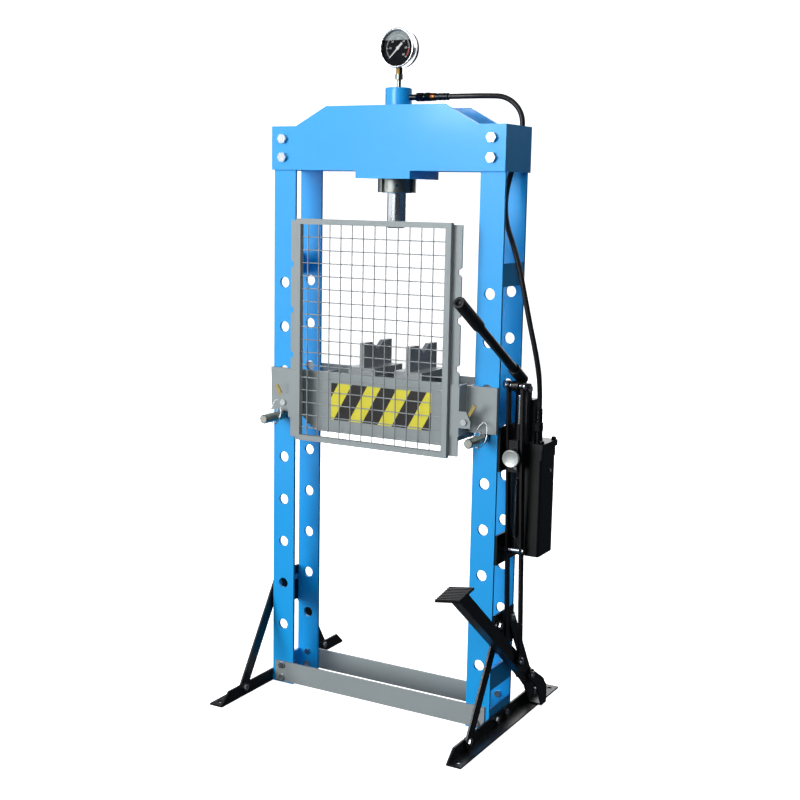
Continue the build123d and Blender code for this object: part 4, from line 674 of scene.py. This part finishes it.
def hexFitting(stations, place, axis):
    # at each height a circle, or a hexagon: its half width over the cosine of the angle from the nearest flat
    stations = np.array(stations, float)
    angle = np.linspace(0, 2 * np.pi, fitting["steps"], endpoint=False)
    fromFlat = (angle + np.pi / 6) % (np.pi / 3) - np.pi / 6
    swell = 1 + stations[:, 2][:, None] * (1 / np.cos(fromFlat)[None] - 1)
    axis, first, second = sideways(axis)
    ring = np.cos(angle)[:, None] * first + np.sin(angle)[:, None] * second
    radius = stations[:, 1][:, None] * mm * swell
    height = (stations[:, 0] * mm)[:, None, None]
    return np.array(place) * mm + height * axis + radius[..., None] * ring[None]


capFitting = makePiece("capFitting", hexFitting(fitting["cap"], capLine, (1, 0, 0)), "blackOxide", "frame",
                       wrapColumns=True, smooth=False)
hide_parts("hose_fitting_cap")
pumpFitting = makePiece("pumpFitting", hexFitting(fitting["pump"], pumpLine, (0, 0, 1)), "blackOxide", "frame",
                        wrapColumns=True, smooth=False)
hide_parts("hose_fitting_pump")

copperRing = {"steps": 40, "profile": ((0, 99.5), (9.9, 99.5), (10.4, 100.3), (10.4, 111.2), (9.9, 112),
                                       (0, 112))}
makePiece("copperRing", turnedPart(copperRing, capLine, (1, 0, 0)), "copper", "frame", wrapColumns=True)
print("fittings dressed")

camera = {"place": (1730.0, -3061.16, 1419.75), "azimuth": 29.170, "pitch": 8.970, "roll": 1.076,
          "focal": 1281.68, "frame": 800, "sensor": 36, "clipEnd": 60}


def placeCamera():  # the photograph's own view, from its vanishing points and known sizes
    data = bpy.data.cameras.new("photoCamera")
    data.sensor_width = camera["sensor"]
    data.lens = camera["focal"] / camera["frame"] * camera["sensor"]
    data.clip_end = camera["clipEnd"]
    azimuth, pitch, roll = (math.radians(camera[key]) for key in ("azimuth", "pitch", "roll"))
    level = math.cos(pitch)
    back = Vector((math.sin(azimuth) * level, -math.cos(azimuth) * level, math.sin(pitch)))
    right = (-back).cross(Vector((0, 0, 1))).normalized()
    up = right.cross(-back)
    turnedRight = math.cos(roll) * right + math.sin(roll) * up
    turnedUp = -math.sin(roll) * right + math.cos(roll) * up
    turn = Matrix((turnedRight, turnedUp, back)).transposed()
    holder = linkObject("photoCamera", data)
    holder.matrix_world = Matrix.Translation(Vector(camera["place"]) * mm) @ turn.to_4x4()
    bpy.context.scene.camera = holder


placeCamera()

studio = {"aim": (0, 0, 0.9), "sky": 0.05, "skyTint": "#D6E4FF", "paper": "#F4F4F4", "white": "#FFFFFF",
          "floorHalf": 9.0, "floorDrop": 0.2 * mm, "floorGlow": 1.0, "domeRadius": 8.9, "domeLow": -0.02,
          "domeGlow": 1.0}
lights = {
    "keyLight": {"place": (-2.9, -6.6, 1.8), "size": 4.5, "power": 475},
    "sideLight": {"place": (2.4, -4.8, 3.4), "size": 2.5, "power": 75},
    "topLight": {"place": (0.2, 0.4, 5.0), "size": 1.6, "power": 80},
    "rearLight": {"place": (-2.8, 5.6, 2.6), "size": 4.0, "power": 250},
}
for name, light in lights.items():
    lampData = bpy.data.lights.new(name, "AREA")
    lampData.shape = "DISK"
    lampData.size = light["size"]
    lampData.energy = light["power"]
    lamp = linkObject(name, lampData)
    lamp.location = light["place"]
    lamp.rotation_euler = (Vector(studio["aim"]) - Vector(light["place"])).to_track_quat("-Z", "Y").to_euler()
    lamp.visible_glossy = False  # the cards below make the highlights

world = bpy.data.worlds.new("studioSky")
bpy.context.scene.world = world
world.use_nodes = True
setSockets(world.node_tree, world.node_tree.nodes["Background"], {
    "Color": hexLinear(studio["skyTint"]), "Strength": studio["sky"]})


def stagePiece(name, points, colour, glow, hiddenFrom, wrapColumns=False):  # a glowing sheet of the studio
    made = bpy.data.materials.new(name)
    made.use_nodes = True
    setSockets(made.node_tree, made.node_tree.nodes["Principled BSDF"], {
        "Base Color": hexLinear(colour), "Roughness": 0.9, "Emission Color": hexLinear(studio["white"]),
        "Emission Strength": glow})
    mesh = bpy.data.meshes.new(name)
    faces = gridFaces(*points.shape[:2], False, wrapColumns)
    mesh.from_pydata(points.reshape(-1, 3).tolist(), [], faces.tolist())
    mesh.materials.append(made)
    piece = linkObject(name, mesh)
    for ray in hiddenFrom:
        setattr(piece, f"visible_{ray}", False)


reach, drop = studio["floorHalf"], -studio["floorDrop"]
floorPoints = np.array([[[x, y, drop] for y in (-reach, reach)] for x in (-reach, reach)])
stagePiece("studioFloor", floorPoints, studio["paper"], studio["floorGlow"],
           ("diffuse", "glossy"))  # keeps the shaded sides as dark as the photograph shows them
cards = {  # seen only as highlights: two ends in x and y, low and high edge, glow
    "headCard": {"x": (-1.5, 0.1), "y": (-3.1, -3.1), "z": (1.8, 3.4), "glow": 13.0},
    "leftCard": {"x": (-4.2, -2.6), "y": (0.4, -3.6), "z": (-0.4, 3.2), "glow": 1.0},
    "frontCard": {"x": (-2.6, 0.2), "y": (-3.6, -4.2), "z": (-1.5, 1.7), "glow": 0.5},
    "backCard": {"x": (-2.4, 0.5), "y": (3.0, 3.2), "z": (-0.4, 4.2), "glow": 1.6},
    "gaugeCard": {"x": (0.5, 2.6), "y": (3.2, 2.2), "z": (2.2, 4.2), "glow": 1.6},
}
for name, card in cards.items():
    cardPoints = np.array([[[x, y, z] for z in card["z"]] for x, y in zip(card["x"], card["y"])])
    stagePiece(name, cardPoints, studio["paper"], card["glow"], ("camera", "diffuse", "transmission", "shadow"))
rise, turn = np.meshgrid(np.linspace(studio["domeLow"], np.pi / 2, 16),
                         np.linspace(0, 2 * np.pi, 48, endpoint=False), indexing="ij")
domePoints = np.stack([np.cos(turn) * np.cos(rise), np.sin(turn) * np.cos(rise), np.sin(rise)], -1)
stagePiece("studioDome", studio["domeRadius"] * domePoints, studio["white"], studio["domeGlow"],
           ("diffuse", "glossy", "transmission", "shadow"), wrapColumns=True)
bpy.context.scene.view_settings.view_transform = "Standard"
print("studio lit")
